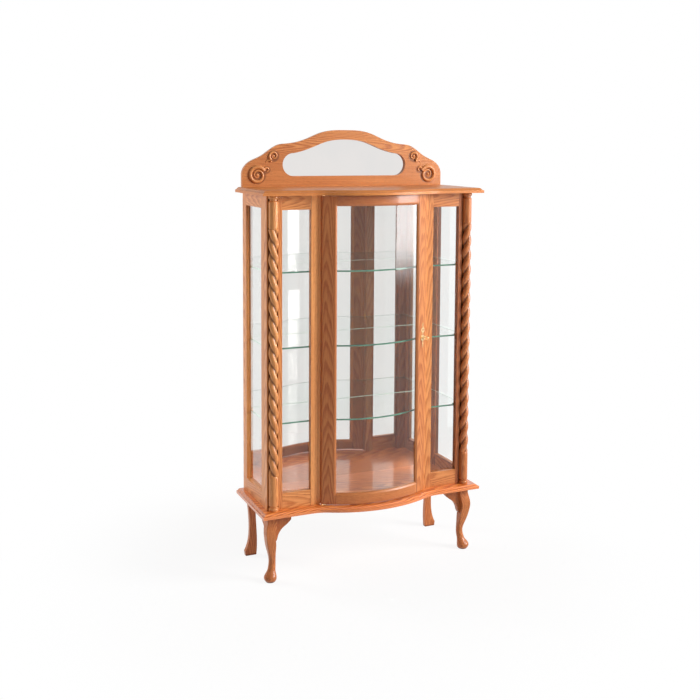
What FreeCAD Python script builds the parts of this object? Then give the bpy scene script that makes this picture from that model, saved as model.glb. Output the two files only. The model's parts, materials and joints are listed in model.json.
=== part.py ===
import FreeCAD, Part
import math
import os

# Bow-front curio cabinet, in millimetres. +Z is up and the front faces -Y.
# The origin is on the floor, in the middle of the cabinet's width and depth.

# Overall sizes
width = 1030.0
straight_depth = 378.0
bow_depth = 72.0
leg_height = 290.0
base_thickness = 20.0
case_height = 1326.0
top_thickness = 22.0
crown_height = 252.0

# Plan of the two moulded boards
bow_radius = 500.0
cove_radius = 150.0
edge_inset = 18.0
edge_lip = 12.0

# Frames of the case
side_setback = 34.0
front_setback = 48.0
frame_thickness = 20.0
side_front_stile = 70.0
side_rear_stile = 48.0
side_top_rail = 55.0
side_bottom_rail = 58.0
side_front_gap = 9.0
corner_post_width = 45.0
corner_post_back = 22.0
panel_top_rail = 61.0
panel_bottom_rail = 69.0
centre_post_width = 40.5
centre_post_return = 11.2
centre_post_nose = 7.0

# Glazing
pane_thickness = 3.0
pane_recess = 14.0
pane_edge = 6.0
rebate = 7.0
bead_depth = 5.0

# Rope-twist columns
column_radius = 20.5
shaft_radius = 19.5
column_inset_x = 25.5
column_gap = 0.3
column_foot = 23.0
column_cap = 13.0
column_neck = 29.0
neck_height = 6.0
plain_bottom = 148.0
plain_top = 139.0
strand_spacing = 65.0
strand_radius = 13.6
rope_steps = 8

# Bow-front door
door_overhang = 32.0
door_thickness = 20.0
door_half_width = 245.0
door_side_gap = 3.0
door_bottom_gap = 5.0
door_top_gap = 4.0
door_stile = 46.0
door_top_rail = 31.0
door_bottom_rail = 36.0
door_lip = 11.0
door_lip_thickness = 9.0
door_bead_fall = 6.0
door_bead_swell = 1.2
door_glass_thickness = 4.0
door_bead_depth = 5.0

# Door pivots
pivot_inset_x = 5.0
pivot_inset_y = 4.8
pivot_pin_radius = 2.5
pivot_clearance = 0.05
pivot_pin_length = 7.0
pivot_leaf_thickness = 2.5
pivot_leaf_length = 34.0
pivot_leaf_margin = 3.0
pivot_plate_thickness = 2.0
pivot_plate_margin = 8.0
pivot_washer_radius = 5.0
door_stop_height = 9.0
door_stop_depth = 9.0

# Lock, on the door's right stile
lock_x = 225.0
lock_height = 693.0
lock_body_width = 36.0
lock_front = 9.0
lock_back = 19.0
lock_wall = 1.5
lock_above = 13.0
lock_below = 24.0
lock_plate_thickness = 1.7
bolt_thickness = 4.0
bolt_height = 10.0
bolt_drop = 8.0
bolt_throw = 9.0
bolt_clearance = 0.05
key_radius = 2.5
key_clearance = 0.3
key_bit_reach = 12.5
key_bit_thickness = 2.4
key_reach = 11.0
key_bow_radius = 9.0
key_bow_thickness = 1.8
keyhole_slot = 4.0
notch_half_width = 2.95
escutcheon_thickness = 1.5
escutcheon_radius = 14.0
escutcheon_ring_height = 35.0
escutcheon_ring_radius = 12.0
escutcheon_ring_hole = 4.5
escutcheon_rise = 67.0
escutcheon_drop = 40.0
escutcheon_spine = 3.0
strike_thickness = 1.2
strike_height = 34.0
strike_width = 11.0

# Shelves and clips
shelf_thickness = 7.0
shelf_bow_gap = 26.0
shelf_clearance = 1.5
shelf_back_gap = 2.0
shelf_heights = (366.0, 686.0, 1006.0)
clip_pin_radius = 2.5
clip_pin_depth = 9.0
clip_tongue = 14.0
clip_width = 12.0
clip_thickness = 3.0
clip_front = 17.0
clip_rear = 26.0

# Mirror back
back_board_thickness = 6.0
back_board_lap = 9.0
back_mirror_thickness = 4.0

# Crown
crown_thickness = 18.0
crown_inset = 26.0
crown_end_height = 57.0
opening_end_inset = 238.0
opening_end_radius = 51.0
opening_centre_height = 97.0
opening_apex_drop = 42.5
crown_mirror_thickness = 3.0
crown_mirror_edge = 8.0
crown_backing_thickness = 3.0
carving_relief = 7.0
carving_width = 12.0
large_scroll_inset = 69.5
large_scroll_height = 52.0
large_scroll_radius = 36.0
small_scroll_inset = 145.0
small_scroll_height = 134.0
small_scroll_radius = 27.0

# Front cabriole legs, drawn along the diagonal of each corner
leg_inset_x = 61.0
leg_inset_y = 70.0
leg_top_half = 19.0
leg_top_reach = 7.0
knee_drop = 78.0
knee_half = 20.7
knee_reach = 22.5
ankle_height = 85.0
ankle_half = 15.0
foot_half = 26.0
foot_reach = 17.0
foot_height = 25.0

# Ear brackets beside the front legs
ear_length = 62.0
ear_end_height = 31.0
ear_depth = 105.0
ear_tail = 20.0
ear_root = 8.0
ear_thickness = 22.0
ear_forward = 4.0
ear_side_forward = 12.0

# Rear legs
rear_leg_thickness = 21.0
rear_leg_inset = 43.0
rear_leg_top_width = 47.0
rear_waist_inset = 56.0
rear_waist_width = 31.0
rear_waist_height = 122.0
rear_foot_inset = 34.0
rear_foot_width = 52.0
rear_foot_height = 20.0

# Fasteners
leg_bolt_radius = 4.0
leg_bolt_into_board = 14.0
leg_bolt_into_leg = 40.0
screw_radius = 2.2
screw_head_radius = 4.2
screw_head_height = 2.5
screw_length = 45.0
crown_screw_inset = 60.0

# Levels and planes that follow from the sizes above
half_width = width / 2
back_y = (straight_depth + bow_depth) / 2
front_y = back_y - straight_depth
bow_centre_y = front_y - bow_depth + bow_radius
floor_z = leg_height + base_thickness
ceiling_z = floor_z + case_height
top_z = ceiling_z + top_thickness
side_x = half_width - side_setback
inner_x = side_x - frame_thickness
face_y = front_y + front_setback
face_back_y = face_y + frame_thickness
column_x = side_x - column_inset_x
column_recess = column_radius + column_gap
column_y = face_y + frame_thickness - 2 - column_recess
post_inner_x = inner_x - corner_post_width
post_back_y = column_y + column_recess + corner_post_back
stile_front_y = face_y + side_front_gap
stile_back_y = stile_front_y + side_front_stile
rear_stile_y = back_y - side_rear_stile
panel_bottom_z = floor_z + panel_bottom_rail
panel_top_z = ceiling_z - panel_top_rail
side_bottom_z = floor_z + side_bottom_rail
side_top_z = ceiling_z - side_top_rail
centre_post_inner = door_half_width + door_side_gap
centre_post_outer = centre_post_inner + centre_post_width
side_pane_x = side_x - pane_recess - pane_thickness
front_pane_y = face_y + pane_recess
front_bead_back = front_pane_y + pane_thickness + bead_depth
side_bead_x = side_pane_x - bead_depth
door_outer_radius = bow_radius - door_overhang
door_inner_radius = door_outer_radius - door_thickness
door_bottom_z = floor_z + door_bottom_gap
door_top_z = ceiling_z - door_top_gap
door_lip_radius = door_outer_radius - door_lip_thickness
door_glass_radius = door_lip_radius - door_glass_thickness
door_stile_x = door_half_width - door_stile
door_glass_bottom = door_bottom_z + door_bottom_rail
door_glass_top = door_top_z - door_top_rail
back_mirror_y = back_y - back_board_thickness - back_mirror_thickness
crown_end = half_width - crown_inset
opening_end_x = crown_end - opening_end_inset
opening_apex_height = crown_height - opening_apex_drop
crown_front_y = back_y - crown_thickness
crown_mirror_y = back_y - crown_backing_thickness - crown_mirror_thickness
lock_z = floor_z + lock_height
lock_angle = math.degrees(math.asin(lock_x / door_outer_radius))
lock_y = bow_centre_y - math.sqrt(door_outer_radius ** 2 - lock_x ** 2)
door_corner_y = bow_centre_y - math.sqrt(door_outer_radius ** 2 - door_half_width ** 2)
pivot_centre = FreeCAD.Vector(pivot_inset_x - door_half_width, door_corner_y + pivot_inset_y, 0)
shelf_bow_radius = door_inner_radius - shelf_bow_gap
leg_x = half_width - leg_inset_x
leg_y = front_y + leg_inset_y
up = FreeCAD.Vector(0, 0, 1)


# ---- helpers ----

def vec(x, y, z=0.0):
    return FreeCAD.Vector(x, y, z)


def box(x0, x1, y0, y1, z0, z1):
    return Part.makeBox(x1 - x0, y1 - y0, z1 - z0, vec(x0, y0, z0))


def rod(radius, x, y, z0, z1):
    return Part.makeCylinder(radius, z1 - z0, vec(x, y, z0), up)


def mirrored(shape):
    return shape.mirror(vec(0, 0), vec(1, 0))


def line(a, b):
    return Part.LineSegment(a, b).toShape()


def arc(a, middle, b):
    return Part.Arc(a, middle, b).toShape()


def prism(edges, direction):
    return Part.Face(Part.Wire(edges)).extrude(direction)


def polygon(points, direction):
    return Part.Face(Part.makePolygon(points + [points[0]])).extrude(direction)


def cut_all(shape, cutters):
    for cutter in cutters:
        shape = shape.cut(cutter)
    return shape


def biggest(shape):
    return max(shape.Solids, key=lambda solid: solid.Volume)


def save(name, shape):
    shape.removeSplitter().exportStep("parts/" + name + ".step")


def save_pair(name, right_shape):
    save(name + "_right", right_shape)
    save(name + "_left", mirrored(right_shape))


def bow_sector(r_in, r_out, x0, x1, z0, z1):
    """The part of a ring about the bow's centre, in front of it, between two planes of x."""
    ring = rod(r_out, 0, bow_centre_y, z0, z1).cut(rod(r_in, 0, bow_centre_y, z0 - 1, z1 + 1))
    return ring.common(box(x0, x1, bow_centre_y - r_out - 1, bow_centre_y, z0, z1))


def place_on_lock(shape):
    """From the lock's own axes (x along the door, y into it, z up) to its place on the door."""
    placed = shape.copy()
    placed.rotate(vec(0, 0), up, lock_angle)
    placed.translate(vec(lock_x, lock_y, lock_z))
    return placed


# ---- moulded boards ----

def cove_centre_x():
    rise = bow_centre_y - front_y + cove_radius
    return math.sqrt((bow_radius + cove_radius) ** 2 - rise ** 2)


def board_blank(z0, thickness):
    cove_x = cove_centre_x()
    cove_y = front_y - cove_radius
    share = bow_radius / (bow_radius + cove_radius)
    join = vec(share * cove_x, bow_centre_y + share * (cove_y - bow_centre_y))
    turn = math.atan2(join.x - cove_x, join.y - cove_y) / 2
    middle = vec(cove_x + cove_radius * math.sin(turn), cove_y + cove_radius * math.cos(turn))
    flat_end = vec(cove_x, front_y)
    edges = [line(vec(-half_width, back_y), vec(-half_width, front_y))]
    edges.append(line(vec(-half_width, front_y), vec(-flat_end.x, front_y)))
    edges.append(arc(vec(-flat_end.x, front_y), vec(-middle.x, middle.y), vec(-join.x, join.y)))
    edges.append(arc(vec(-join.x, join.y), vec(0, front_y - bow_depth), join))
    edges.append(arc(join, middle, flat_end))
    edges.append(line(flat_end, vec(half_width, front_y)))
    edges.append(line(vec(half_width, front_y), vec(half_width, back_y)))
    edges.append(line(vec(half_width, back_y), vec(-half_width, back_y)))
    blank = prism(edges, vec(0, 0, thickness))
    blank.translate(vec(0, 0, z0))
    return blank


def ogee_face(origin, inward, top):
    """What the ogee takes off an edge: a face at origin, whose edge points along -inward."""
    rise = top - edge_lip

    def at(share_in, share_up):
        return origin + inward * (edge_inset * share_in) + up * (edge_lip + rise * share_up)

    outside = origin - inward * edge_inset
    edges = [line(outside + up * edge_lip, at(0, 0))]
    edges.append(arc(at(0, 0), at(0.33, 0.17), at(0.5, 0.5)))
    edges.append(arc(at(0.5, 0.5), at(0.67, 0.83), at(1, 1)))
    edges.append(line(at(1, 1), at(1, 1) + up))
    edges.append(line(at(1, 1) + up, outside + up * (top + 1)))
    edges.append(line(outside + up * (top + 1), outside + up * edge_lip))
    return Part.Face(Part.Wire(edges))


def moulded_board(z0, thickness):
    board = board_blank(z0, thickness)
    cove_x = cove_centre_x()
    cove_y = front_y - cove_radius
    cove_turn = math.degrees(math.atan2(cove_x, bow_centre_y - cove_y))
    reach = edge_inset + 2
    side = ogee_face(vec(half_width, front_y - reach, z0), vec(-1, 0), thickness)
    side = side.extrude(vec(0, straight_depth + 2 * reach))
    flat = ogee_face(vec(cove_x, front_y, z0), vec(0, 1), thickness)
    flat = flat.extrude(vec(half_width - cove_x + reach, 0))
    cove = ogee_face(vec(cove_x, front_y, z0), vec(0, 1), thickness)
    cove = cove.revolve(vec(cove_x, cove_y), up, cove_turn)
    bow = ogee_face(vec(0, front_y - bow_depth, z0), vec(0, 1), thickness)
    bow = bow.revolve(vec(0, bow_centre_y), up, cove_turn)
    for cutter in (side, flat, cove, bow):
        board = board.cut(cutter)
        board = board.cut(mirrored(cutter))
    return board


# ---- side frames ----

def side_rebate():
    return box(side_bead_x - 1, side_pane_x + pane_thickness, stile_back_y - rebate,
               rear_stile_y + rebate, side_bottom_z - rebate, side_top_z + rebate)


def clip_rows():
    return (stile_back_y - clip_front, back_y - clip_rear)


def clip_pin(y, shelf_bottom):
    start = vec(inner_x - shelf_clearance / 2, y, shelf_bottom - clip_thickness / 2)
    return Part.makeCylinder(clip_pin_radius, shelf_clearance / 2 + clip_pin_depth, start,
                             vec(1, 0))


def clip_pins():
    pins = []
    for height in shelf_heights:
        for y in clip_rows():
            pins.append(clip_pin(y, floor_z + height - shelf_thickness))
    return pins


def side_front_stile_piece():
    stile = box(inner_x, side_x, stile_front_y, stile_back_y, floor_z, ceiling_z)
    stile = stile.cut(rod(column_recess, column_x, column_y, floor_z - 1, ceiling_z + 1))
    return cut_all(stile.cut(side_rebate()), clip_pins())


def side_rear_stile_piece():
    stile = box(inner_x, side_x, rear_stile_y, back_y, floor_z, ceiling_z)
    lap = box(inner_x - 1, inner_x + back_board_lap, back_y - back_board_thickness, back_y + 1,
              floor_z - 1, ceiling_z + 1)
    return cut_all(stile.cut(side_rebate()).cut(lap), clip_pins())


def side_rail_piece(z0, z1):
    return box(inner_x, side_x, stile_back_y, rear_stile_y, z0, z1).cut(side_rebate())


def side_pane():
    edge = pane_edge
    return box(side_pane_x, side_pane_x + pane_thickness, stile_back_y - edge,
               rear_stile_y + edge, side_bottom_z - edge, side_top_z + edge)


def side_beads():
    x0, x1 = side_bead_x, side_pane_x
    y0, y1 = stile_back_y - rebate, rear_stile_y + rebate
    z0, z1 = side_bottom_z - rebate, side_top_z + rebate
    strips = [box(x0, x1, y0, y0 + rebate, z0, z1), box(x0, x1, y1 - rebate, y1, z0, z1)]
    strips.append(box(x0, x1, y0 + rebate, y1 - rebate, z0, z0 + rebate))
    strips.append(box(x0, x1, y0 + rebate, y1 - rebate, z1 - rebate, z1))
    return strips


# ---- flat front panels ----

def front_rebate():
    return box(centre_post_outer - rebate, post_inner_x + rebate, front_pane_y,
               post_back_y + 1, panel_bottom_z - rebate, panel_top_z + rebate)


def corner_post_piece():
    nose_x = column_x - column_recess
    step_y = column_y + column_recess
    points = [vec(post_inner_x, face_y, floor_z), vec(nose_x, face_y, floor_z)]
    points += [vec(nose_x, step_y, floor_z), vec(inner_x, step_y, floor_z)]
    points += [vec(inner_x, post_back_y, floor_z), vec(post_inner_x, post_back_y, floor_z)]
    return polygon(points, vec(0, 0, case_height)).cut(front_rebate())


def centre_post_piece():
    x0, x1 = centre_post_inner, centre_post_outer
    points = [vec(x0, face_y - centre_post_nose, floor_z)]
    points += [vec(x0 + centre_post_return, face_y, floor_z), vec(x1, face_y, floor_z)]
    points += [vec(x1, face_back_y, floor_z), vec(x0, face_back_y, floor_z)]
    return polygon(points, vec(0, 0, case_height)).cut(front_rebate())


def front_rail_piece(z0, z1):
    rail = box(centre_post_outer, post_inner_x, face_y, face_back_y, z0, z1)
    return rail.cut(front_rebate())


def front_pane():
    edge = pane_edge
    return box(centre_post_outer - edge, post_inner_x + edge, front_pane_y,
               front_pane_y + pane_thickness, panel_bottom_z - edge, panel_top_z + edge)


def front_beads():
    x0, x1 = centre_post_outer - rebate, post_inner_x + rebate
    y0, y1 = front_pane_y + pane_thickness, front_bead_back
    z0, z1 = panel_bottom_z - rebate, panel_top_z + rebate
    strips = [box(x0, x0 + rebate, y0, y1, z0, z1), box(x1 - rebate, x1, y0, y1, z0, z1)]
    strips.append(box(x0 + rebate, x1 - rebate, y0, y1, z0, z0 + rebate))
    strips.append(box(x0 + rebate, x1 - rebate, y0, y1, z1 - rebate, z1))
    return strips


# ---- rope-twist columns ----

def strand_section(z, turn):
    """Two overlapping circles: a rope of two strands cut across."""
    offset = column_radius - strand_radius
    waist = math.sqrt(strand_radius ** 2 - offset ** 2)
    edges = [arc(vec(0, -waist, z), vec(column_radius, 0, z), vec(0, waist, z))]
    edges.append(arc(vec(0, waist, z), vec(-column_radius, 0, z), vec(0, -waist, z)))
    section = Part.Wire(edges)
    section.rotate(vec(0, 0), up, turn)
    return section


def rope_turn(length):
    """One half turn of the twist. The next half turn has the same outline on top of it."""
    sections = []
    for step in range(rope_steps + 1):
        share = step / rope_steps
        sections.append(strand_section(length * share, 180 * share))
    return Part.makeLoft(sections, True, False)


def rope_column():
    rope_bottom = floor_z + plain_bottom
    rope_top = ceiling_z - plain_top
    turns = max(1, round((rope_top - rope_bottom) / strand_spacing))
    half_lead = (rope_top - rope_bottom) / turns
    pieces = [rod(column_radius, 0, 0, floor_z, floor_z + column_foot)]
    pieces.append(rod(shaft_radius, 0, 0, floor_z + column_foot, rope_bottom))
    for turn in range(turns):
        piece = rope_turn(half_lead)
        piece.translate(vec(0, 0, rope_bottom + turn * half_lead))
        pieces.append(piece)
    neck = ceiling_z - column_neck
    pieces.append(rod(shaft_radius, 0, 0, rope_top, neck - neck_height / 2))
    pieces.append(rod(column_radius, 0, 0, neck - neck_height / 2, neck + neck_height / 2))
    pieces.append(rod(shaft_radius, 0, 0, neck + neck_height / 2, ceiling_z - column_cap))
    pieces.append(rod(column_radius, 0, 0, ceiling_z - column_cap, ceiling_z))
    column = pieces[0].multiFuse(pieces[1:])
    column.translate(vec(column_x, column_y))
    return column


# ---- door ----

def on_bow(x, radius, z=0.0):
    return vec(x, bow_centre_y - math.sqrt(radius ** 2 - x ** 2), z)


def bead_arc(high, low, outward):
    """The moulded edge of the door's frame, from its face down to the glass line."""
    return arc(high, (high + low) * 0.5 + outward * door_bead_swell, low)


def door_bead_pocket():
    """What the moulded edge takes off the door's face, all round the glass, mitred."""
    outer, inner = door_stile_x, door_stile_x - door_lip
    deep = door_outer_radius - door_bead_fall
    proud = door_outer_radius + 2
    right_edge = bead_arc(on_bow(outer, door_outer_radius), on_bow(inner, deep), vec(0, -1))
    left_edge = bead_arc(on_bow(-inner, deep), on_bow(-outer, door_outer_radius), vec(0, -1))
    plan = [right_edge, arc(on_bow(inner, deep), on_bow(0, deep), on_bow(-inner, deep))]
    plan += [left_edge, line(on_bow(-outer, door_outer_radius), on_bow(-outer, proud))]
    plan.append(arc(on_bow(-outer, proud), on_bow(0, proud), on_bow(outer, proud)))
    plan.append(line(on_bow(outer, proud), on_bow(outer, door_outer_radius)))
    across = prism(plan, vec(0, 0, door_glass_top - door_glass_bottom))
    across.translate(vec(0, 0, door_glass_bottom))
    low, high = door_glass_bottom, door_glass_top
    face_low, face_high = on_bow(0, door_outer_radius, low), on_bow(0, door_outer_radius, high)
    deep_low, deep_high = on_bow(0, deep, low + door_lip), on_bow(0, deep, high - door_lip)
    profile = [bead_arc(face_low, deep_low, vec(0, -1)), line(deep_low, deep_high)]
    profile += [bead_arc(deep_high, face_high, vec(0, -1))]
    profile.append(line(face_high, on_bow(0, proud, high)))
    profile.append(line(on_bow(0, proud, high), on_bow(0, proud, low)))
    profile.append(line(on_bow(0, proud, low), face_low))
    half_turn = math.degrees(math.asin(outer / door_outer_radius)) + 3
    upright = Part.Face(Part.Wire(profile))
    upright.rotate(vec(0, bow_centre_y), up, -half_turn)
    upright = upright.revolve(vec(0, bow_centre_y), up, 2 * half_turn)
    return across.common(upright)


def door_window():
    """The hole through the door's frame: its lips, and the wider rebate behind them."""
    sight_x = door_stile_x - door_lip
    sight = bow_sector(door_inner_radius - 5, door_outer_radius + 5, -sight_x, sight_x,
                       door_glass_bottom + door_lip, door_glass_top - door_lip)
    behind = bow_sector(door_inner_radius - 5, door_lip_radius, -door_stile_x, door_stile_x,
                        door_glass_bottom, door_glass_top)
    return [sight, behind, door_bead_pocket()]


def pivot_leaf_blank(z0, z1):
    return bow_sector(door_inner_radius + pivot_leaf_margin, door_outer_radius - pivot_leaf_margin,
                      -door_half_width + 1, -door_half_width + 1 + pivot_leaf_length, z0, z1)


def pivot_hole(z0, z1):
    return rod(pivot_pin_radius + pivot_clearance, pivot_centre.x, pivot_centre.y, z0, z1)


def door_pivot_leaves():
    depth = pivot_pin_length + 2
    low = pivot_leaf_blank(door_bottom_z, door_bottom_z + pivot_leaf_thickness)
    high = pivot_leaf_blank(door_top_z - pivot_leaf_thickness, door_top_z)
    return [low.cut(pivot_hole(door_bottom_z - 1, door_bottom_z + depth)),
            high.cut(pivot_hole(door_top_z - depth, door_top_z + 1))]


def door_hinge_stile():
    depth = pivot_pin_length + 2
    stile = bow_sector(door_inner_radius, door_outer_radius, -door_half_width,
                       -door_stile_x + door_lip, door_bottom_z, door_top_z)
    stile = cut_all(stile, door_window())
    for leaf in door_pivot_leaves():
        stile = stile.cut(leaf)
    stile = stile.cut(pivot_hole(door_bottom_z - 1, door_bottom_z + depth))
    return stile.cut(pivot_hole(door_top_z - depth, door_top_z + 1))


def door_lock_stile():
    stile = bow_sector(door_inner_radius, door_outer_radius, door_stile_x - door_lip,
                       door_half_width, door_bottom_z, door_top_z)
    stile = cut_all(stile, door_window())
    return stile.cut(lock_envelope()).cut(place_on_lock(keyhole(-5, lock_front + 1)))


def door_rail(z0, z1):
    rail = bow_sector(door_inner_radius, door_outer_radius, -door_stile_x + door_lip,
                      door_stile_x - door_lip, z0, z1)
    return cut_all(rail, door_window())


def door_pane():
    edge = door_stile_x - 1
    return bow_sector(door_glass_radius, door_lip_radius, -edge, edge,
                      door_glass_bottom + 1, door_glass_top - 1)


def door_beads():
    r0, r1 = door_glass_radius - door_bead_depth, door_glass_radius
    x0, x1 = door_stile_x - door_lip, door_stile_x
    z0, z1 = door_glass_bottom, door_glass_top
    strips = [bow_sector(r0, r1, x0, x1, z0, z1), bow_sector(r0, r1, -x1, -x0, z0, z1)]
    strips.append(bow_sector(r0, r1, -x0, x0, z0, z0 + door_lip))
    strips.append(bow_sector(r0, r1, -x0, x0, z1 - door_lip, z1))
    return strips


# ---- door pivots on the case, and the door's stop ----

def pivot_plate_blank(z0, z1):
    m = pivot_plate_margin
    return box(pivot_centre.x - m, pivot_centre.x + 2 * m, pivot_centre.y - m, pivot_centre.y + m,
               z0, z1)


def case_pivot_plates():
    x, y = pivot_centre.x, pivot_centre.y
    low = pivot_plate_blank(floor_z - pivot_plate_thickness, floor_z)
    low = low.fuse(rod(pivot_washer_radius, x, y, floor_z, door_bottom_z))
    low = low.fuse(rod(pivot_pin_radius, x, y, door_bottom_z, door_bottom_z + pivot_pin_length))
    high = pivot_plate_blank(ceiling_z, ceiling_z + pivot_plate_thickness)
    high = high.fuse(rod(pivot_washer_radius, x, y, door_top_z + 0.3, ceiling_z))
    high = high.fuse(rod(pivot_pin_radius, x, y, door_top_z - pivot_pin_length, ceiling_z))
    return [low, high]


def door_stop():
    gap = 0.3
    return bow_sector(door_inner_radius - gap - door_stop_depth, door_inner_radius - gap,
                      -door_stile_x + 40, door_half_width - 40, ceiling_z - door_stop_height,
                      ceiling_z)


# ---- lock ----

def lock_edge_space(inset):
    return box(-half_width, door_half_width - inset, -straight_depth * 2, straight_depth * 2,
               0, top_z)


def lock_body_blank():
    half = lock_body_width / 2
    body = box(-half, lock_body_width, lock_front, lock_back, -lock_below, lock_above)
    return place_on_lock(body).common(lock_edge_space(lock_plate_thickness))


def lock_edge_plate():
    edge_y = bow_centre_y - math.sqrt(door_inner_radius ** 2 - door_half_width ** 2)
    return box(door_half_width - lock_plate_thickness, door_half_width, edge_y - 17, edge_y - 1,
               lock_z - lock_below - 4, lock_z + lock_above + 4)


def lock_envelope():
    return lock_body_blank().fuse(lock_edge_plate())


def bolt_blank(clearance, u0, u1):
    middle = (lock_front + lock_back) / 2 + 1
    half = bolt_thickness / 2 + clearance
    top = -bolt_drop + clearance
    return box(u0, u1, middle - half, middle + half, top - bolt_height - 2 * clearance, top)


def keyhole(y0, y1):
    slot = box(-keyhole_slot / 2, keyhole_slot / 2, y0, y1, -key_bit_reach - 1, 0)
    start = vec(0, y0, 0)
    hole = Part.makeCylinder(key_radius + key_clearance, y1 - y0, start, vec(0, 1, 0))
    return hole.fuse(slot)


def lock_case():
    half = lock_body_width / 2
    hollow = box(-half + lock_wall, lock_body_width, lock_front + lock_wall,
                 lock_back - lock_wall, -lock_below + lock_wall, lock_above - lock_wall)
    hollow = place_on_lock(hollow).common(lock_edge_space(lock_plate_thickness + lock_wall))
    bolt_way = place_on_lock(bolt_blank(bolt_clearance, 0, lock_body_width))
    front_hole = place_on_lock(keyhole(lock_front - 1, lock_front + lock_wall + 1))
    return lock_envelope().cut(hollow).cut(bolt_way).cut(front_hole)


def lock_bolt():
    notch = box(-notch_half_width, notch_half_width, 0, lock_back + 5, -key_bit_reach - 0.5,
                -bolt_drop + 1)
    half = lock_body_width / 2
    bolt = bolt_blank(0, -half + lock_wall + 2, lock_body_width).cut(notch)
    return place_on_lock(bolt).common(lock_edge_space(0.3))


def lock_key():
    middle = (lock_front + lock_back) / 2 + 1
    inside = lock_back - lock_wall - 0.5
    shank = Part.makeCylinder(key_radius, inside + key_reach, vec(0, -key_reach, 0), vec(0, 1, 0))
    bit = box(-key_bit_thickness / 2, key_bit_thickness / 2, middle - bolt_thickness / 2,
              middle + bolt_thickness / 2, -key_bit_reach, 0)
    bow = Part.makeTorus(key_bow_radius, key_bow_thickness,
                         vec(0, -key_reach - key_bow_radius, 0), vec(1, 0, 0))
    return place_on_lock(shank.fuse(bit).fuse(bow))


def escutcheon():
    """A brass plate bent to the door's face: a keyhole lobe, a pierced ring and two finials."""
    depth = 4 * escutcheon_radius

    def plug(radius, z):
        return Part.makeCylinder(radius, depth, vec(0, -depth / 2, z), vec(0, 1, 0))

    spine = box(-escutcheon_spine, escutcheon_spine, -depth / 2, depth / 2, -escutcheon_drop,
                escutcheon_rise)
    outline = plug(escutcheon_radius, 0).fuse(spine)
    outline = outline.fuse(plug(escutcheon_ring_radius, escutcheon_ring_height))
    outline = outline.cut(plug(escutcheon_ring_hole, escutcheon_ring_height))
    outline = outline.cut(keyhole(-depth / 2, depth / 2))
    skin = bow_sector(door_outer_radius, door_outer_radius + escutcheon_thickness,
                      door_stile_x, door_half_width, lock_z - escutcheon_drop - 1,
                      lock_z + escutcheon_rise + 1)
    return skin.common(place_on_lock(outline))


def bolt_sweep():
    """The room that the thrown bolt takes in the right centre post."""
    sweep = bolt_blank(0.5, 0, lock_body_width)
    shift = FreeCAD.Vector(math.cos(math.radians(lock_angle)), math.sin(math.radians(lock_angle)), 0)
    placed = place_on_lock(sweep).common(lock_edge_space(0))
    placed.translate(shift * (bolt_throw + 1))
    return placed


def strike_blank():
    slope = math.radians(lock_angle)
    depth = (lock_front + lock_back) / 2 + 1
    along = (centre_post_inner - lock_x + depth * math.sin(slope)) / math.cos(slope)
    middle_y = lock_y + along * math.sin(slope) + depth * math.cos(slope)
    middle_z = lock_z - bolt_drop - bolt_height / 2
    return box(centre_post_inner, centre_post_inner + strike_thickness,
               middle_y - strike_width / 2, middle_y + strike_width / 2,
               middle_z - strike_height / 2, middle_z + strike_height / 2)


# ---- shelves ----

def shelf(height):
    front = front_bead_back + 1
    side = side_bead_x - shelf_clearance
    notch_x = post_inner_x - shelf_clearance
    notch_y = post_back_y + shelf_clearance
    back = back_mirror_y - shelf_back_gap
    bow_x = math.sqrt(shelf_bow_radius ** 2 - (bow_centre_y - front) ** 2)
    z = floor_z + height - shelf_thickness
    edges = [line(vec(-side, back, z), vec(-side, notch_y, z))]
    edges.append(line(vec(-side, notch_y, z), vec(-notch_x, notch_y, z)))
    edges.append(line(vec(-notch_x, notch_y, z), vec(-notch_x, front, z)))
    edges.append(line(vec(-notch_x, front, z), vec(-bow_x, front, z)))
    apex = vec(0, bow_centre_y - shelf_bow_radius, z)
    edges.append(arc(vec(-bow_x, front, z), apex, vec(bow_x, front, z)))
    edges.append(line(vec(bow_x, front, z), vec(notch_x, front, z)))
    edges.append(line(vec(notch_x, front, z), vec(notch_x, notch_y, z)))
    edges.append(line(vec(notch_x, notch_y, z), vec(side, notch_y, z)))
    edges.append(line(vec(side, notch_y, z), vec(side, back, z)))
    edges.append(line(vec(side, back, z), vec(-side, back, z)))
    return prism(edges, vec(0, 0, shelf_thickness))


def shelf_clips():
    clips = []
    for height in shelf_heights:
        bottom = floor_z + height - shelf_thickness
        for y in clip_rows():
            tongue = box(inner_x - clip_tongue, inner_x, y - clip_width / 2, y + clip_width / 2,
                         bottom - clip_thickness, bottom)
            clip = tongue.fuse(clip_pin(y, bottom))
            clips += [clip, mirrored(clip)]
    return clips


# ---- mirror back ----

def back_board():
    x = inner_x + back_board_lap
    return box(-x, x, back_y - back_board_thickness, back_y, floor_z, ceiling_z)


def back_mirror():
    return box(-inner_x, inner_x, back_mirror_y, back_mirror_y + back_mirror_thickness,
               floor_z, ceiling_z)


# ---- crown ----

def crown_outline_points():
    """Right half, from the end to the apex, as x and height over the top board."""
    shares = [(0.986, 0.32), (0.933, 0.433), (0.83, 0.528), (0.705, 0.69), (0.65, 0.738),
              (0.583, 0.754), (0.491, 0.778), (0.362, 0.857), (0.254, 0.944), (0.123, 0.994)]
    points = [(crown_end, crown_end_height)]
    points += [(crown_end * along, crown_height * rise) for along, rise in shares]
    return points + [(0, crown_height)]


def half_curve(points, y):
    """A smooth curve through the right half's points and their mirror images."""
    whole = [vec(x, y, top_z + h) for x, h in points]
    whole += [vec(-x, y, top_z + h) for x, h in reversed(points[:-1])]
    curve = Part.BSplineCurve()
    curve.interpolate(whole)
    return curve.toShape()


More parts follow.
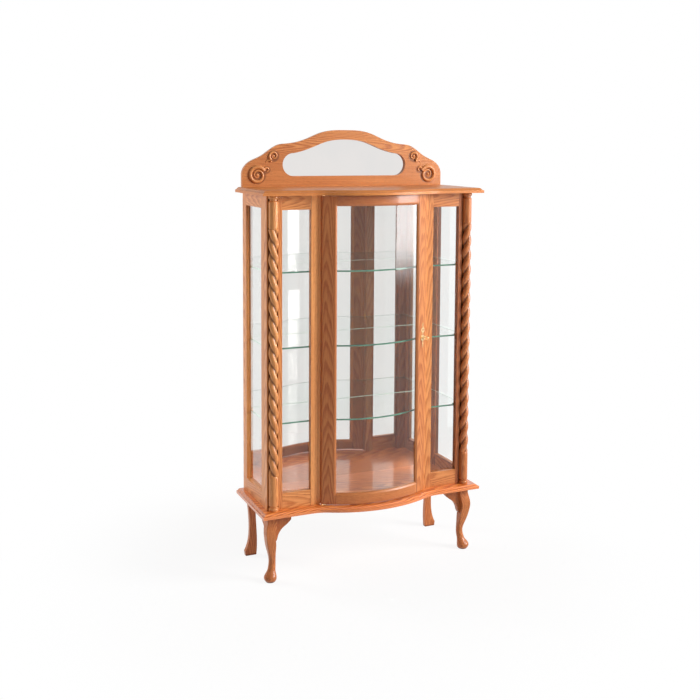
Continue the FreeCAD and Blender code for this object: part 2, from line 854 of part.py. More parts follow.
def crown_opening(margin, y0, y1):
    r = opening_end_radius + margin
    x = opening_end_x
    centre = top_z + opening_centre_height
    rise = opening_apex_height - opening_centre_height
    points = [(x, opening_centre_height + r)]
    for along, share in ((0.797, 0.56), (0.645, 0.68), (0.359, 0.917), (0, 1)):
        points.append((x * along, opening_centre_height + rise * share + margin))
    end_x = vec(x + r, y0, centre)
    edges = [half_curve(points, y0)]
    edges.append(arc(vec(-x, y0, centre + r), vec(-end_x.x, y0, centre), vec(-x, y0, centre - r)))
    edges.append(line(vec(-x, y0, centre - r), vec(x, y0, centre - r)))
    edges.append(arc(vec(x, y0, centre - r), end_x, vec(x, y0, centre + r)))
    return prism(edges, vec(0, y1 - y0))


def crown_board():
    y = crown_front_y
    end = crown_end
    edges = [half_curve(crown_outline_points(), y)]
    edges.append(line(vec(-end, y, top_z + crown_end_height), vec(-end, y, top_z)))
    edges.append(line(vec(-end, y, top_z), vec(end, y, top_z)))
    edges.append(line(vec(end, y, top_z), vec(end, y, top_z + crown_end_height)))
    board = prism(edges, vec(0, crown_thickness))
    board = board.cut(crown_opening(0, y - 1, back_y + 1))
    board = board.cut(crown_opening(crown_mirror_edge, crown_mirror_y, back_y + 1))
    for hole in crown_screw_rods():
        board = board.cut(hole)
    return board


def half_ring(x, z, radius, flip):
    """Half of a flat ring in the crown's face: the upper half, or the lower with flip."""
    half = carving_width / 2
    y = crown_front_y - carving_relief
    ring = Part.makeCylinder(radius + half, carving_relief, vec(x, y, z), vec(0, 1, 0))
    ring = ring.cut(Part.makeCylinder(radius - half, carving_relief, vec(x, y, z), vec(0, 1, 0)))
    reach = radius + half + 1
    low = z - reach if flip else z
    high = z if flip else z + reach
    return ring.common(box(x - reach, x + reach, y, crown_front_y, low, high))


def scroll(x, height, radius, side):
    """Three half rings of falling radius and a boss: a spiral that ends at its eye."""
    z = top_z + height
    step = radius * 0.26
    shape = half_ring(x, z, radius - carving_width / 2, False)
    shape = shape.fuse(half_ring(x + side * step / 2, z, radius - carving_width / 2 - step / 2, True))
    shape = shape.fuse(half_ring(x, z, radius - carving_width / 2 - step, False))
    y = crown_front_y - carving_relief
    eye_x = x - side * (radius - carving_width / 2 - step * 1.7)
    eye = Part.makeCylinder(step * 0.9, carving_relief, vec(eye_x, y, z), vec(0, 1, 0))
    return shape.fuse(eye)


def carved_scrolls():
    large = scroll(crown_end - large_scroll_inset, large_scroll_height, large_scroll_radius, 1)
    small = scroll(crown_end - small_scroll_inset, small_scroll_height, small_scroll_radius, -1)
    return Part.makeCompound([large, small])


def crown_screw_rods():
    rods = []
    for x in (-crown_end + crown_screw_inset, -opening_end_x, opening_end_x,
              crown_end - crown_screw_inset):
        rods.append(rod(screw_radius, x, back_y - crown_thickness / 2,
                        ceiling_z + screw_head_height, ceiling_z + screw_length))
    return rods


def crown_screws():
    screws = []
    for shank in crown_screw_rods():
        centre = shank.BoundBox.Center
        head = rod(screw_head_radius, centre.x, centre.y, ceiling_z, ceiling_z + screw_head_height)
        screws.append(shank.fuse(head))
    return screws


# ---- front legs ----

def leg_section(z, reach, half, corner):
    """A square with rounded corners, moved out along the corner's diagonal by reach."""
    x = leg_x + reach / math.sqrt(2)
    y = leg_y - reach / math.sqrt(2)
    flat = half - corner
    slant = corner * math.sqrt(0.5)
    edges = []
    for turn in range(4):
        angle = math.radians(90 * turn)

        def at(u, v):
            return vec(x + u * math.cos(angle) - v * math.sin(angle),
                       y + u * math.sin(angle) + v * math.cos(angle), z)

        edges.append(line(at(half, -flat), at(half, flat)))
        edges.append(arc(at(half, flat), at(flat + slant, flat + slant), at(flat, half)))
    return Part.Wire(edges)


def front_leg():
    knee_z = leg_height - knee_drop
    calf = knee_z - ankle_height
    foot_gap = ankle_height - foot_height
    round_share = 0.97
    sole = foot_half - 7
    sections = [leg_section(0, foot_reach, sole, sole * round_share)]
    sections.append(leg_section(foot_height * 0.35, foot_reach, foot_half - 1,
                                (foot_half - 1) * round_share))
    sections.append(leg_section(foot_height, foot_reach, foot_half, foot_half * round_share))
    neck = ankle_half + (foot_half - ankle_half) * 0.35
    sections.append(leg_section(foot_height + foot_gap * 0.28, foot_reach * 0.55, neck,
                                neck * round_share))
    sections.append(leg_section(foot_height + foot_gap * 0.6, foot_reach * 0.18, ankle_half + 1,
                                (ankle_half + 1) * round_share))
    sections.append(leg_section(ankle_height, 0, ankle_half, ankle_half * round_share))
    sections.append(leg_section(ankle_height + calf * 0.33, knee_reach * 0.31,
                                ankle_half + (knee_half - ankle_half) * 0.3, 7))
    sections.append(leg_section(ankle_height + calf * 0.58, knee_reach * 0.6,
                                ankle_half + (knee_half - ankle_half) * 0.8, 4))
    sections.append(leg_section(ankle_height + calf * 0.8, knee_reach * 0.87, knee_half - 0.5, 2.5))
    sections.append(leg_section(knee_z, knee_reach, knee_half, 2))
    sections.append(leg_section(knee_z + knee_drop * 0.4, knee_reach * 0.67, knee_half + 1, 2))
    sections.append(leg_section(knee_z + knee_drop * 0.72, knee_reach * 0.45, knee_half - 0.2, 2))
    sections.append(leg_section(leg_height, leg_top_reach, leg_top_half, 2))
    return Part.makeLoft(sections, True, False)


def ear_blank():
    """The bracket in its own plane: x away from the leg's middle, z under the board."""
    start = leg_top_half
    end = start + ear_length
    top = leg_height
    low = top - ear_depth
    step = top - ear_end_height
    tip = low - ear_tail
    edges = [line(vec(0, 0, top), vec(0, 0, tip)), line(vec(0, 0, tip), vec(ear_root, 0, tip))]
    edges.append(arc(vec(ear_root, 0, tip), vec((ear_root + start) / 2 + 1, 0, tip + ear_tail * 0.45),
                     vec(start, 0, low)))
    edges.append(arc(vec(start, 0, low), vec(start + ear_length * 0.22, 0, low + ear_depth * 0.3),
                     vec(start + ear_length * 0.55, 0, low + ear_depth * 0.47)))
    edges.append(arc(vec(start + ear_length * 0.55, 0, low + ear_depth * 0.47),
                     vec(start + ear_length * 0.86, 0, step - ear_depth * 0.09), vec(end, 0, step)))
    edges.append(line(vec(end, 0, step), vec(end, 0, top)))
    edges.append(line(vec(end, 0, top), vec(0, 0, top)))
    return prism(edges, vec(0, ear_thickness))


def leg_ears():
    leg = front_leg()
    front = ear_blank()
    front = front.mirror(vec(0, 0), vec(1, 0))
    front.translate(vec(leg_x, leg_y - ear_thickness / 2 - ear_forward))
    side = ear_blank()
    side.rotate(vec(0, 0), up, 90)
    side.translate(vec(leg_x + ear_thickness / 2 + ear_side_forward, leg_y))
    return [biggest(front.cut(leg)), biggest(side.cut(leg))]


# ---- rear legs ----

def rear_leg():
    y = back_y - rear_leg_thickness
    top_outer = half_width - rear_leg_inset
    waist_outer = half_width - rear_waist_inset
    foot_outer = half_width - rear_foot_inset
    foot_inner = foot_outer - rear_foot_width
    waist_inner = waist_outer - rear_waist_width
    shin = rear_foot_height + (rear_waist_height - rear_foot_height) * 0.3
    thigh = rear_waist_height + (leg_height - rear_waist_height) * 0.5
    outer = [vec(top_outer, y, leg_height), vec(waist_outer + 4, y, thigh),
             vec(waist_outer, y, rear_waist_height), vec(foot_outer - 13, y, shin),
             vec(foot_outer, y, rear_foot_height)]
    inner = [vec(foot_inner, y, 0), vec(foot_inner - 3, y, rear_waist_height / 2),
             vec(waist_inner, y, rear_waist_height), vec(waist_inner + 4, y, thigh),
             vec(top_outer - rear_leg_top_width, y, leg_height)]
    outer_curve = Part.BSplineCurve()
    outer_curve.interpolate(outer)
    inner_curve = Part.BSplineCurve()
    inner_curve.interpolate(inner)
    toe = vec(foot_outer - 3, y, 0)
    edges = [outer_curve.toShape(), line(outer[-1], toe), line(toe, inner[0])]
    edges += [inner_curve.toShape(), line(inner[-1], outer[0])]
    return prism(edges, vec(0, rear_leg_thickness))


# ---- fasteners ----

def leg_bolts():
    low = leg_height - leg_bolt_into_leg
    high = leg_height + leg_bolt_into_board
    rear_x = half_width - rear_leg_inset - rear_leg_top_width / 2
    rear_y = back_y - rear_leg_thickness / 2
    bolts = [rod(leg_bolt_radius, leg_x, leg_y, low, high)]
    bolts.append(rod(leg_bolt_radius, rear_x, rear_y, low, high))
    return bolts + [mirrored(bolt) for bolt in bolts]


def case_screws():
    """Screws up through the base board, and down through the top board, into the uprights."""
    places = [(inner_x + frame_thickness / 2, stile_back_y - side_front_stile / 3),
              (inner_x + frame_thickness / 2 + 3, rear_stile_y + side_rear_stile / 3),
              (inner_x - corner_post_width / 3, post_back_y - corner_post_back / 2),
              (centre_post_outer - centre_post_width / 2, face_y + frame_thickness / 2)]
    screws = []
    for x, y in places:
        low = rod(screw_radius, x, y, leg_height, leg_height + screw_length)
        low = low.fuse(rod(screw_head_radius, x, y, leg_height, leg_height + screw_head_height))
        high = rod(screw_radius, x, y, top_z - screw_length, top_z)
        high = high.fuse(rod(screw_head_radius, x, y, top_z - screw_head_height, top_z))
        screws += [low, high]
    return screws + [mirrored(screw) for screw in screws]


# ---- the pieces ----

os.makedirs("parts", exist_ok=True)

bolts = leg_bolts()
screws = case_screws()
top_screws = crown_screws()
plates = case_pivot_plates()

base = cut_all(moulded_board(leg_height, base_thickness), bolts + screws + plates)
save("base_board", base)
save("top_board", cut_all(moulded_board(ceiling_z, top_thickness), top_screws + screws + plates))

save_pair("side_front_stile", cut_all(side_front_stile_piece(), screws))
save_pair("side_rear_stile", cut_all(side_rear_stile_piece(), screws))
save_pair("side_top_rail", side_rail_piece(side_top_z, ceiling_z))
save_pair("side_bottom_rail", side_rail_piece(floor_z, side_bottom_z))
save_pair("side_pane", side_pane())

save_pair("corner_post", cut_all(corner_post_piece(), screws))
left_post = mirrored(cut_all(centre_post_piece(), screws))
right_post = cut_all(centre_post_piece(), screws).cut(strike_blank()).cut(bolt_sweep())
save("centre_post_left", left_post)
save("centre_post_right", right_post)
save_pair("panel_top_rail", front_rail_piece(panel_top_z, ceiling_z))
save_pair("panel_bottom_rail", front_rail_piece(floor_z, panel_bottom_z))
save_pair("front_pane", front_pane())
save_pair("glazing_beads", Part.makeCompound(side_beads() + front_beads()))
save_pair("rope_column", rope_column())

save("door_hinge_stile", door_hinge_stile())
save("door_lock_stile", door_lock_stile())
save("door_top_rail", door_rail(door_glass_top - door_lip, door_top_z))
save("door_bottom_rail", door_rail(door_bottom_z, door_glass_bottom + door_lip))
save("door_glass", door_pane())
save("door_beads", Part.makeCompound(door_beads()))
save("door_pivot_leaves", Part.makeCompound(door_pivot_leaves()))
save("case_pivot_plates", Part.makeCompound(plates))
save("door_stop", door_stop())

save("lock_case", lock_case())
save("lock_bolt", lock_bolt())
save("lock_key", lock_key())
save("escutcheon", escutcheon())
save("lock_strike", strike_blank().cut(bolt_sweep()))

for number, height in enumerate(shelf_heights, 1):
    save("glass_shelf_" + str(number), shelf(height))
save("shelf_clips", Part.makeCompound(shelf_clips()))
save("back_board", back_board())
save("back_mirror", back_mirror())

save("crown_board", crown_board())
save("crown_mirror", crown_opening(crown_mirror_edge - 1, crown_mirror_y,
                                   crown_mirror_y + crown_mirror_thickness))
save("crown_backing", crown_opening(crown_mirror_edge - 1, back_y - crown_backing_thickness,
                                    back_y))
save_pair("carved_scrolls", carved_scrolls())
save("crown_screws", Part.makeCompound(top_screws))

save_pair("front_leg", cut_all(front_leg(), bolts))
save_pair("leg_ears", Part.makeCompound(leg_ears()))
save_pair("rear_leg", cut_all(rear_leg(), bolts))
save("leg_bolts", Part.makeCompound(bolts))
save("case_screws", Part.makeCompound(screws))
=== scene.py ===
import bpy
import json
import math
from mathutils import Euler, Matrix, Vector

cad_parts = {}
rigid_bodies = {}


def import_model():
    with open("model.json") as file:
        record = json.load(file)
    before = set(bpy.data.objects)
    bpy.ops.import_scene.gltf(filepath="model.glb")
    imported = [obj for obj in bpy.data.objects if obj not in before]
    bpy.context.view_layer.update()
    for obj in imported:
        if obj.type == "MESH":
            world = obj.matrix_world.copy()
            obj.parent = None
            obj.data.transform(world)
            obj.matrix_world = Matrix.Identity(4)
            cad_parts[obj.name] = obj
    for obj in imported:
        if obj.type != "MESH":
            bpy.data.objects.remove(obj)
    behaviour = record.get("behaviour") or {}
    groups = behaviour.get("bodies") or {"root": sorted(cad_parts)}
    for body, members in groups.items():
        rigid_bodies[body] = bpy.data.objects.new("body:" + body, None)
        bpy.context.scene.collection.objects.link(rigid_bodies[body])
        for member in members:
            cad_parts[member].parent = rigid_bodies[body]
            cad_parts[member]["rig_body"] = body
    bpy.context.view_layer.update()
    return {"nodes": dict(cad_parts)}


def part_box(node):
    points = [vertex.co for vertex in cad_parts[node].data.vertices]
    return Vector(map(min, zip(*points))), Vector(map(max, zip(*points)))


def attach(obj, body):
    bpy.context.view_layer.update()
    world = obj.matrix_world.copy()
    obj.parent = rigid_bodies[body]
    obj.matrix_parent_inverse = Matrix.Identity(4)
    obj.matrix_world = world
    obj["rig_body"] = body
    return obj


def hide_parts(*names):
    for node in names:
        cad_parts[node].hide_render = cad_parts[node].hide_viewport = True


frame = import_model()
nodes = frame["nodes"]
print("frame loaded:", len(nodes), "nodes")


tolerance = {"merge": 0.00001, "ropeSeam": 0.00002, "flatDegrees": 0.3}


def selectNothing():
    if bpy.context.mode != "OBJECT":
        bpy.ops.object.mode_set(mode="OBJECT")
    bpy.ops.object.select_all(action="DESELECT")


def makeActive(piece):
    selectNothing()
    piece.select_set(True)
    bpy.context.view_layer.objects.active = piece


def editAll(piece):
    makeActive(piece)
    bpy.ops.object.mode_set(mode="EDIT")
    bpy.ops.mesh.select_all(action="SELECT")


def leaveEdit():
    bpy.ops.object.mode_set(mode="OBJECT")


def applyPlace(piece):
    makeActive(piece)
    bpy.ops.object.transform_apply(location=True, rotation=True, scale=True)


def applyModifier(piece, modifier):
    makeActive(piece)
    bpy.ops.object.modifier_apply(modifier=modifier.name)


def fixNormals(piece):
    editAll(piece)
    bpy.ops.mesh.remove_doubles(threshold=tolerance["merge"])
    bpy.ops.mesh.normals_make_consistent(inside=False)
    leaveEdit()


def smoothByAngle(piece, degrees):
    makeActive(piece)
    bpy.ops.object.shade_smooth_by_angle(angle=math.radians(degrees))


def settleNormals(piece, degrees=30):
    # smooth over the eased edges, while the flat faces between them stay flat
    smoothByAngle(piece, degrees)
    weigh = piece.modifiers.new("flatFaces", "WEIGHTED_NORMAL")
    weigh.keep_sharp = True
    weigh.weight = 100
    applyModifier(piece, weigh)


def easeEdges(piece, width, segments=2, degrees=32):
    bevel = piece.modifiers.new("easedEdges", "BEVEL")
    bevel.width = width
    bevel.segments = segments
    bevel.limit_method = "ANGLE"
    bevel.angle_limit = math.radians(degrees)
    bevel.use_clamp_overlap = True
    applyModifier(piece, bevel)


def joinPieces(name, pieces):
    makeActive(pieces[0])
    for piece in pieces[1:]:
        piece.select_set(True)
    bpy.ops.object.join()
    joined = bpy.context.view_layer.objects.active
    joined.name = name
    joined.data.name = name
    return joined


def mirroredCopy(piece, name):
    # a copy on the other side of the cabinet, with its own mesh
    other = bpy.data.objects.new(name, piece.data.copy())
    bpy.context.scene.collection.objects.link(other)
    other.scale = (-1, 1, 1)
    applyPlace(other)
    fixNormals(other)
    return other


def workingCopy(node, name):
    # a merged copy of a CAD node, ready to be modelled on
    piece = bpy.data.objects.new(name, nodes[node].data.copy())
    bpy.context.scene.collection.objects.link(piece)
    makeActive(piece)
    bpy.ops.mesh.customdata_custom_splitnormals_clear()
    editAll(piece)
    bpy.ops.mesh.remove_doubles(threshold=tolerance["merge"])
    bpy.ops.mesh.dissolve_limited(angle_limit=math.radians(tolerance["flatDegrees"]))
    leaveEdit()
    return piece


def fit(piece, material, slot, *replaced, body=None):
    piece.data.materials.clear()
    piece.data.materials.append(material)
    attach(piece, body or nodes[replaced[0]]["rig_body"])
    if replaced:
        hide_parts(*replaced)


def dress(node, material):
    mesh = nodes[node].data
    if not mesh.materials:
        mesh.materials.append(material)
    for slot in nodes[node].material_slots:
        slot.material = material


def nodeCentre(node):
    low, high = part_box(node)
    return (low + high) / 2


def newGroup(name, inputs, outputs):
    group = bpy.data.node_groups.new(name, "ShaderNodeTree")
    for label, kind, value in inputs:
        socket = group.interface.new_socket(name=label, in_out="INPUT", socket_type=kind)
        if value is not None:
            socket.default_value = value
    for label, kind in outputs:
        group.interface.new_socket(name=label, in_out="OUTPUT", socket_type=kind)
    return group, group.nodes.new("NodeGroupInput"), group.nodes.new("NodeGroupOutput")


def plug(tree, socket, value):
    if hasattr(value, "is_output"):
        tree.links.new(value, socket)
    else:
        socket.default_value = value


def mathNode(tree, operation, first, second=None, clamp=False):
    node = tree.nodes.new("ShaderNodeMath")
    node.operation = operation
    node.use_clamp = clamp
    plug(tree, node.inputs[0], first)
    if second is not None:
        plug(tree, node.inputs[1], second)
    return node.outputs[0]


def vectorNode(tree, operation, first, second=None):
    node = tree.nodes.new("ShaderNodeVectorMath")
    node.operation = operation
    plug(tree, node.inputs[0], first)
    if second is not None:
        plug(tree, node.inputs[1], second)
    return node.outputs["Value"] if operation == "LENGTH" else node.outputs["Vector"]


def noiseNode(tree, place, scale, detail=2.0, roughness=0.5):
    node = tree.nodes.new("ShaderNodeTexNoise")
    plug(tree, node.inputs["Vector"], place)
    node.inputs["Scale"].default_value = scale
    node.inputs["Detail"].default_value = detail
    node.inputs["Roughness"].default_value = roughness
    return node.outputs["Fac"]


def rangeNode(tree, value, fromLow, fromHigh, toLow=0.0, toHigh=1.0, kind="SMOOTHSTEP"):
    node = tree.nodes.new("ShaderNodeMapRange")
    node.interpolation_type = kind
    plug(tree, node.inputs["Value"], value)
    plug(tree, node.inputs["From Min"], fromLow)
    plug(tree, node.inputs["From Max"], fromHigh)
    plug(tree, node.inputs["To Min"], toLow)
    plug(tree, node.inputs["To Max"], toHigh)
    return node.outputs["Result"]


def mixColour(tree, share, first, second):
    node = tree.nodes.new("ShaderNodeMix")
    node.data_type = "RGBA"
    node.blend_type = "MIX"
    plug(tree, node.inputs[0], share)
    plug(tree, node.inputs[6], first)
    plug(tree, node.inputs[7], second)
    return node.outputs[2]


# each noise: how far it is stretched along the grain, scale, detail, roughness
grain = {
    "wander": (0.16, 7.0, 3.0, 0.55), "wanderReach": 0.034,
    "uneven": (0.05, 34.0, 1.0, 0.5), "unevenReach": 1.6,
    "ringRise": (0.05, 0.72), "ringFall": (0.80, 1.0), "ringPower": 1.5,
    "streaks": (0.015, 210.0, 4.0, 0.62), "streakRange": (0.34, 0.68), "streakShare": 0.36,
    "pores": (0.045, 1150.0, 1.0, 0.5), "poreRange": (0.55, 0.68),
    "poresInRing": 0.7, "poresBetween": 0.3, "poreShare": 0.62,
    "broad": (0.22, 5.5, 2.0, 0.5), "broadRange": (0.32, 0.68), "broadShare": 0.26,
    "roughness": 0.30, "roughPores": 0.16, "roughStreaks": 0.05,
    "poreDepth": 0.8, "ringDepth": 0.12,
}


def stretchedNoise(tree, place, key):
    stretch, scale, detail, roughness = grain[key]
    drawn = vectorNode(tree, "MULTIPLY", place, (1, 1, stretch))
    return noiseNode(tree, drawn, scale, detail, roughness)


def buildOakGrain():
    # growth rings about a slightly tilted heart line, streaks and open pores along local Z
    tree, given, out = newGroup(
        "oakGrain",
        [("Vector", "NodeSocketVector", None),
         ("Light Wood", "NodeSocketColor", (0.5, 0.2, 0.07, 1)),
         ("Dark Wood", "NodeSocketColor", (0.3, 0.1, 0.03, 1)),
         ("Pore Colour", "NodeSocketColor", (0.1, 0.03, 0.01, 1)),
         ("Ring Spacing", "NodeSocketFloat", 0.006),
         ("Figure", "NodeSocketFloat", 0.5),
         ("Tilt", "NodeSocketFloat", 0.05)],
        [("Color", "NodeSocketColor"), ("Roughness", "NodeSocketFloat"),
         ("Height", "NodeSocketFloat")])
    place = given.outputs["Vector"]
    wander = mathNode(tree, "SUBTRACT", stretchedNoise(tree, place, "wander"), 0.5)
    wander = mathNode(tree, "MULTIPLY", wander, grain["wanderReach"])
    flat = vectorNode(tree, "LENGTH", vectorNode(tree, "MULTIPLY", place, (1, 1, 0)))
    split = tree.nodes.new("ShaderNodeSeparateXYZ")
    tree.links.new(place, split.inputs[0])
    lean = mathNode(tree, "MULTIPLY", split.outputs["Z"], given.outputs["Tilt"])
    reach = mathNode(tree, "ADD", mathNode(tree, "ADD", flat, wander), lean)
    rings = mathNode(tree, "DIVIDE", reach, given.outputs["Ring Spacing"])
    uneven = mathNode(tree, "MULTIPLY", stretchedNoise(tree, place, "uneven"), grain["unevenReach"])
    phase = mathNode(tree, "FRACT", mathNode(tree, "ADD", rings, uneven))
    rise = rangeNode(tree, phase, *grain["ringRise"])
    fall = rangeNode(tree, phase, *grain["ringFall"], 1.0, 0.0)
    ring = mathNode(tree, "POWER", mathNode(tree, "MULTIPLY", rise, fall), grain["ringPower"])
    streaks = rangeNode(tree, stretchedNoise(tree, place, "streaks"), *grain["streakRange"],
                        kind="LINEAR")
    pores = rangeNode(tree, stretchedNoise(tree, place, "pores"), *grain["poreRange"])
    often = mathNode(tree, "MULTIPLY", ring, grain["poresInRing"])
    pores = mathNode(tree, "MULTIPLY", pores, mathNode(tree, "ADD", often, grain["poresBetween"]))
    broad = rangeNode(tree, stretchedNoise(tree, place, "broad"), *grain["broadRange"],
                      kind="LINEAR")
    dark = mathNode(tree, "MULTIPLY", ring, given.outputs["Figure"])
    dark = mathNode(tree, "ADD", dark, mathNode(tree, "MULTIPLY", streaks, grain["streakShare"]))
    dark = mathNode(tree, "ADD", dark, mathNode(tree, "MULTIPLY", broad, grain["broadShare"]),
                    clamp=True)
    wood = mixColour(tree, dark, given.outputs["Light Wood"], given.outputs["Dark Wood"])
    opened = mathNode(tree, "MULTIPLY", pores, grain["poreShare"])
    wood = mixColour(tree, opened, wood, given.outputs["Pore Colour"])
    tree.links.new(wood, out.inputs["Color"])
    rough = mathNode(tree, "ADD", mathNode(tree, "MULTIPLY", pores, grain["roughPores"]),
                     mathNode(tree, "MULTIPLY", streaks, grain["roughStreaks"]))
    rough = mathNode(tree, "ADD", rough, grain["roughness"])
    tree.links.new(rough, out.inputs["Roughness"])
    sunk = mathNode(tree, "MULTIPLY", pores, grain["poreDepth"])
    height = mathNode(tree, "SUBTRACT", 1.0, sunk)
    sunk = mathNode(tree, "MULTIPLY", ring, grain["ringDepth"])
    height = mathNode(tree, "SUBTRACT", height, sunk)
    tree.links.new(height, out.inputs["Height"])
    return tree


def buildPaintedShadeMask():
    # painted shade for grooves, hollows and carving: a mask that grows towards an axis
    tree, given, out = newGroup(
        "grooveGlaze",
        [("Vector", "NodeSocketVector", None), ("Axis", "NodeSocketVector", (0, 0, 0)),
         ("Across", "NodeSocketVector", (1, 1, 0)),
         ("Deep", "NodeSocketFloat", 0.012), ("Proud", "NodeSocketFloat", 0.018)],
        [("Mask", "NodeSocketFloat")])
    away = vectorNode(tree, "SUBTRACT", given.outputs["Vector"], given.outputs["Axis"])
    away = vectorNode(tree, "MULTIPLY", away, given.outputs["Across"])
    away = vectorNode(tree, "LENGTH", away)
    mask = rangeNode(tree, away, given.outputs["Deep"], given.outputs["Proud"], 1.0, 0.0)
    tree.links.new(mask, out.inputs["Mask"])
    return tree


wearLook = {"detail": 4.0, "range": (0.35, 0.7)}


def buildFineWear():
    # faint smears and dust for metal and glass
    tree, given, out = newGroup(
        "fineWear",
        [("Vector", "NodeSocketVector", None), ("Scale", "NodeSocketFloat", 60.0),
         ("Low", "NodeSocketFloat", 0.1), ("High", "NodeSocketFloat", 0.3)],
        [("Roughness", "NodeSocketFloat"), ("Mask", "NodeSocketFloat")])
    noise = tree.nodes.new("ShaderNodeTexNoise")
    tree.links.new(given.outputs["Vector"], noise.inputs["Vector"])
    tree.links.new(given.outputs["Scale"], noise.inputs["Scale"])
    noise.inputs["Detail"].default_value = wearLook["detail"]
    mask = rangeNode(tree, noise.outputs["Fac"], *wearLook["range"])
    tree.links.new(mask, out.inputs["Mask"])
    rough = rangeNode(tree, mask, 0.0, 1.0, given.outputs["Low"], given.outputs["High"], "LINEAR")
    tree.links.new(rough, out.inputs["Roughness"])
    return tree


oakGrain = buildOakGrain()
grooveGlaze = buildPaintedShadeMask()
fineWear = buildFineWear()


# the oak's colours, rings and lacquer
oak = {
    "light": (0.760, 0.325, 0.106, 1),
    "dark": (0.430, 0.115, 0.026, 1),
    "pore": (0.150, 0.032, 0.007, 1),
    # the colour that the painted shade darkens towards
    "paintedShade": (0.085, 0.020, 0.006, 1),
    "ringSpacing": 0.0046,
    "figure": 0.46,
    "tilt": 0.055,
    "bump": 0.22,
    "bumpDepth": 0.0006,
    # a deeper tone takes more out of the green and blue, so it turns redder
    "greenPower": 1.6,
    "bluePower": 1.9,
    "specular": 0.28,
    "coat": (0.12, 0.14, 1.5),  # share, roughness, density
}

grainTurns = {"Z": (0, 0, 0), "X": (0, math.radians(-90), 0), "Y": (math.radians(90), 0, 0)}


def newMaterial(name):
    material = bpy.data.materials.new(name)
    material.use_nodes = True
    tree = material.node_tree
    shader = tree.nodes["Principled BSDF"]
    return material, tree, shader


def groupNode(tree, group):
    node = tree.nodes.new("ShaderNodeGroup")
    node.node_tree = group
    return node


def oakMaterial(name, along, centre, pith=(0.03, 0.09), tone=1.0, figure=None, spacing=None,
                glazes=(), shift=0.0, coat=None, tint=(1.0, 1.0, 1.0)):
    material, tree, shader = newMaterial(name)
    place = tree.nodes.new("ShaderNodeTexCoord").outputs["Object"]
    mapping = tree.nodes.new("ShaderNodeMapping")
    turn = Euler(grainTurns[along]).to_matrix()
    home = turn @ Vector(centre)
    mapping.inputs["Rotation"].default_value = grainTurns[along]
    mapping.inputs["Location"].default_value = (pith[0] - home.x, pith[1] - home.y, shift - home.z)
    tree.links.new(place, mapping.inputs["Vector"])
    grainNode = groupNode(tree, oakGrain)
    tree.links.new(mapping.outputs["Vector"], grainNode.inputs["Vector"])
    for label, key in (("Light Wood", "light"), ("Dark Wood", "dark"), ("Pore Colour", "pore")):
        red, green, blue, alpha = oak[key]
        grainNode.inputs[label].default_value = (red * tone * tint[0],
                                                 green * tone ** oak["greenPower"] * tint[1],
                                                 blue * tone ** oak["bluePower"] * tint[2], alpha)
    grainNode.inputs["Ring Spacing"].default_value = spacing or oak["ringSpacing"]
    grainNode.inputs["Figure"].default_value = oak["figure"] if figure is None else figure
    grainNode.inputs["Tilt"].default_value = oak["tilt"]
    colour = grainNode.outputs["Color"]
    # each mark is painted shade: it darkens the colour towards the shade colour inside its mask
    for axis, across, deep, proud, strength in glazes:
        paintedShade = groupNode(tree, grooveGlaze)
        bothSides = place if across[2] == 0 else vectorNode(tree, "ABSOLUTE", place)
        tree.links.new(bothSides, paintedShade.inputs["Vector"])
        paintedShade.inputs["Axis"].default_value = axis
        paintedShade.inputs["Across"].default_value = across
        paintedShade.inputs["Deep"].default_value = deep
        paintedShade.inputs["Proud"].default_value = proud
        share = mathNode(tree, "MULTIPLY", paintedShade.outputs["Mask"], strength)
        colour = mixColour(tree, share, colour, oak["paintedShade"])
    tree.links.new(colour, shader.inputs["Base Color"])
    tree.links.new(grainNode.outputs["Roughness"], shader.inputs["Roughness"])
    bump = tree.nodes.new("ShaderNodeBump")
    bump.inputs["Strength"].default_value = oak["bump"]
    bump.inputs["Distance"].default_value = oak["bumpDepth"]
    tree.links.new(grainNode.outputs["Height"], bump.inputs["Height"])
    tree.links.new(bump.outputs["Normal"], shader.inputs["Normal"])
    shader.inputs["Specular IOR Level"].default_value = oak["specular"]
    weight, roughness, density = coat or oak["coat"]
    shader.inputs["Coat Weight"].default_value = weight
    shader.inputs["Coat Roughness"].default_value = roughness
    shader.inputs["Coat IOR"].default_value = density
    return material


def wornSurface(tree, shader, scale, low, high):
    # smears that set the roughness; their mask goes to the colour
    place = tree.nodes.new("ShaderNodeTexCoord").outputs["Object"]
    wear = groupNode(tree, fineWear)
    tree.links.new(place, wear.inputs["Vector"])
    wear.inputs["Scale"].default_value = scale
    wear.inputs["Low"].default_value = low
    wear.inputs["High"].default_value = high
    tree.links.new(wear.outputs["Roughness"], shader.inputs["Roughness"])
    return wear.outputs["Mask"]


def clearOnShadow(tree, shader, tint):
    # light passes straight through the glass to what stands behind it
    output = tree.nodes["Material Output"]
    path = tree.nodes.new("ShaderNodeLightPath")
    clear = tree.nodes.new("ShaderNodeBsdfTransparent")
    clear.inputs["Color"].default_value = tint
    share = mathNode(tree, "MAXIMUM", path.outputs["Is Shadow Ray"], path.outputs["Is Diffuse Ray"])
    mix = tree.nodes.new("ShaderNodeMixShader")
    tree.links.new(share, mix.inputs["Fac"])
    tree.links.new(shader.outputs["BSDF"], mix.inputs[1])
    tree.links.new(clear.outputs["BSDF"], mix.inputs[2])
    tree.links.new(mix.outputs["Shader"], output.inputs["Surface"])


# wear: scale, then the lowest and highest roughness
sheets = {
    "glassWear": (9.0, 0.0, 0.012), "glassDensity": 1.40,
    "smearShare": 0.25, "smearTint": (0.97, 0.985, 0.98),
    "mirrorWear": (5.0, 0.012, 0.03),
    "silver": (0.80, 0.775, 0.76, 1), "dustySilver": (0.775, 0.76, 0.75, 1),
    "edgeStretch": 12, "edgeScale": 26.0, "edgeDetail": 3.0, "edgeRange": (0.38, 0.66),
    "edgeRoughness": (0.08, 0.2),
}
metal = {"wearScale": 180.0, "bump": 0.06, "bumpDepth": 0.0003}


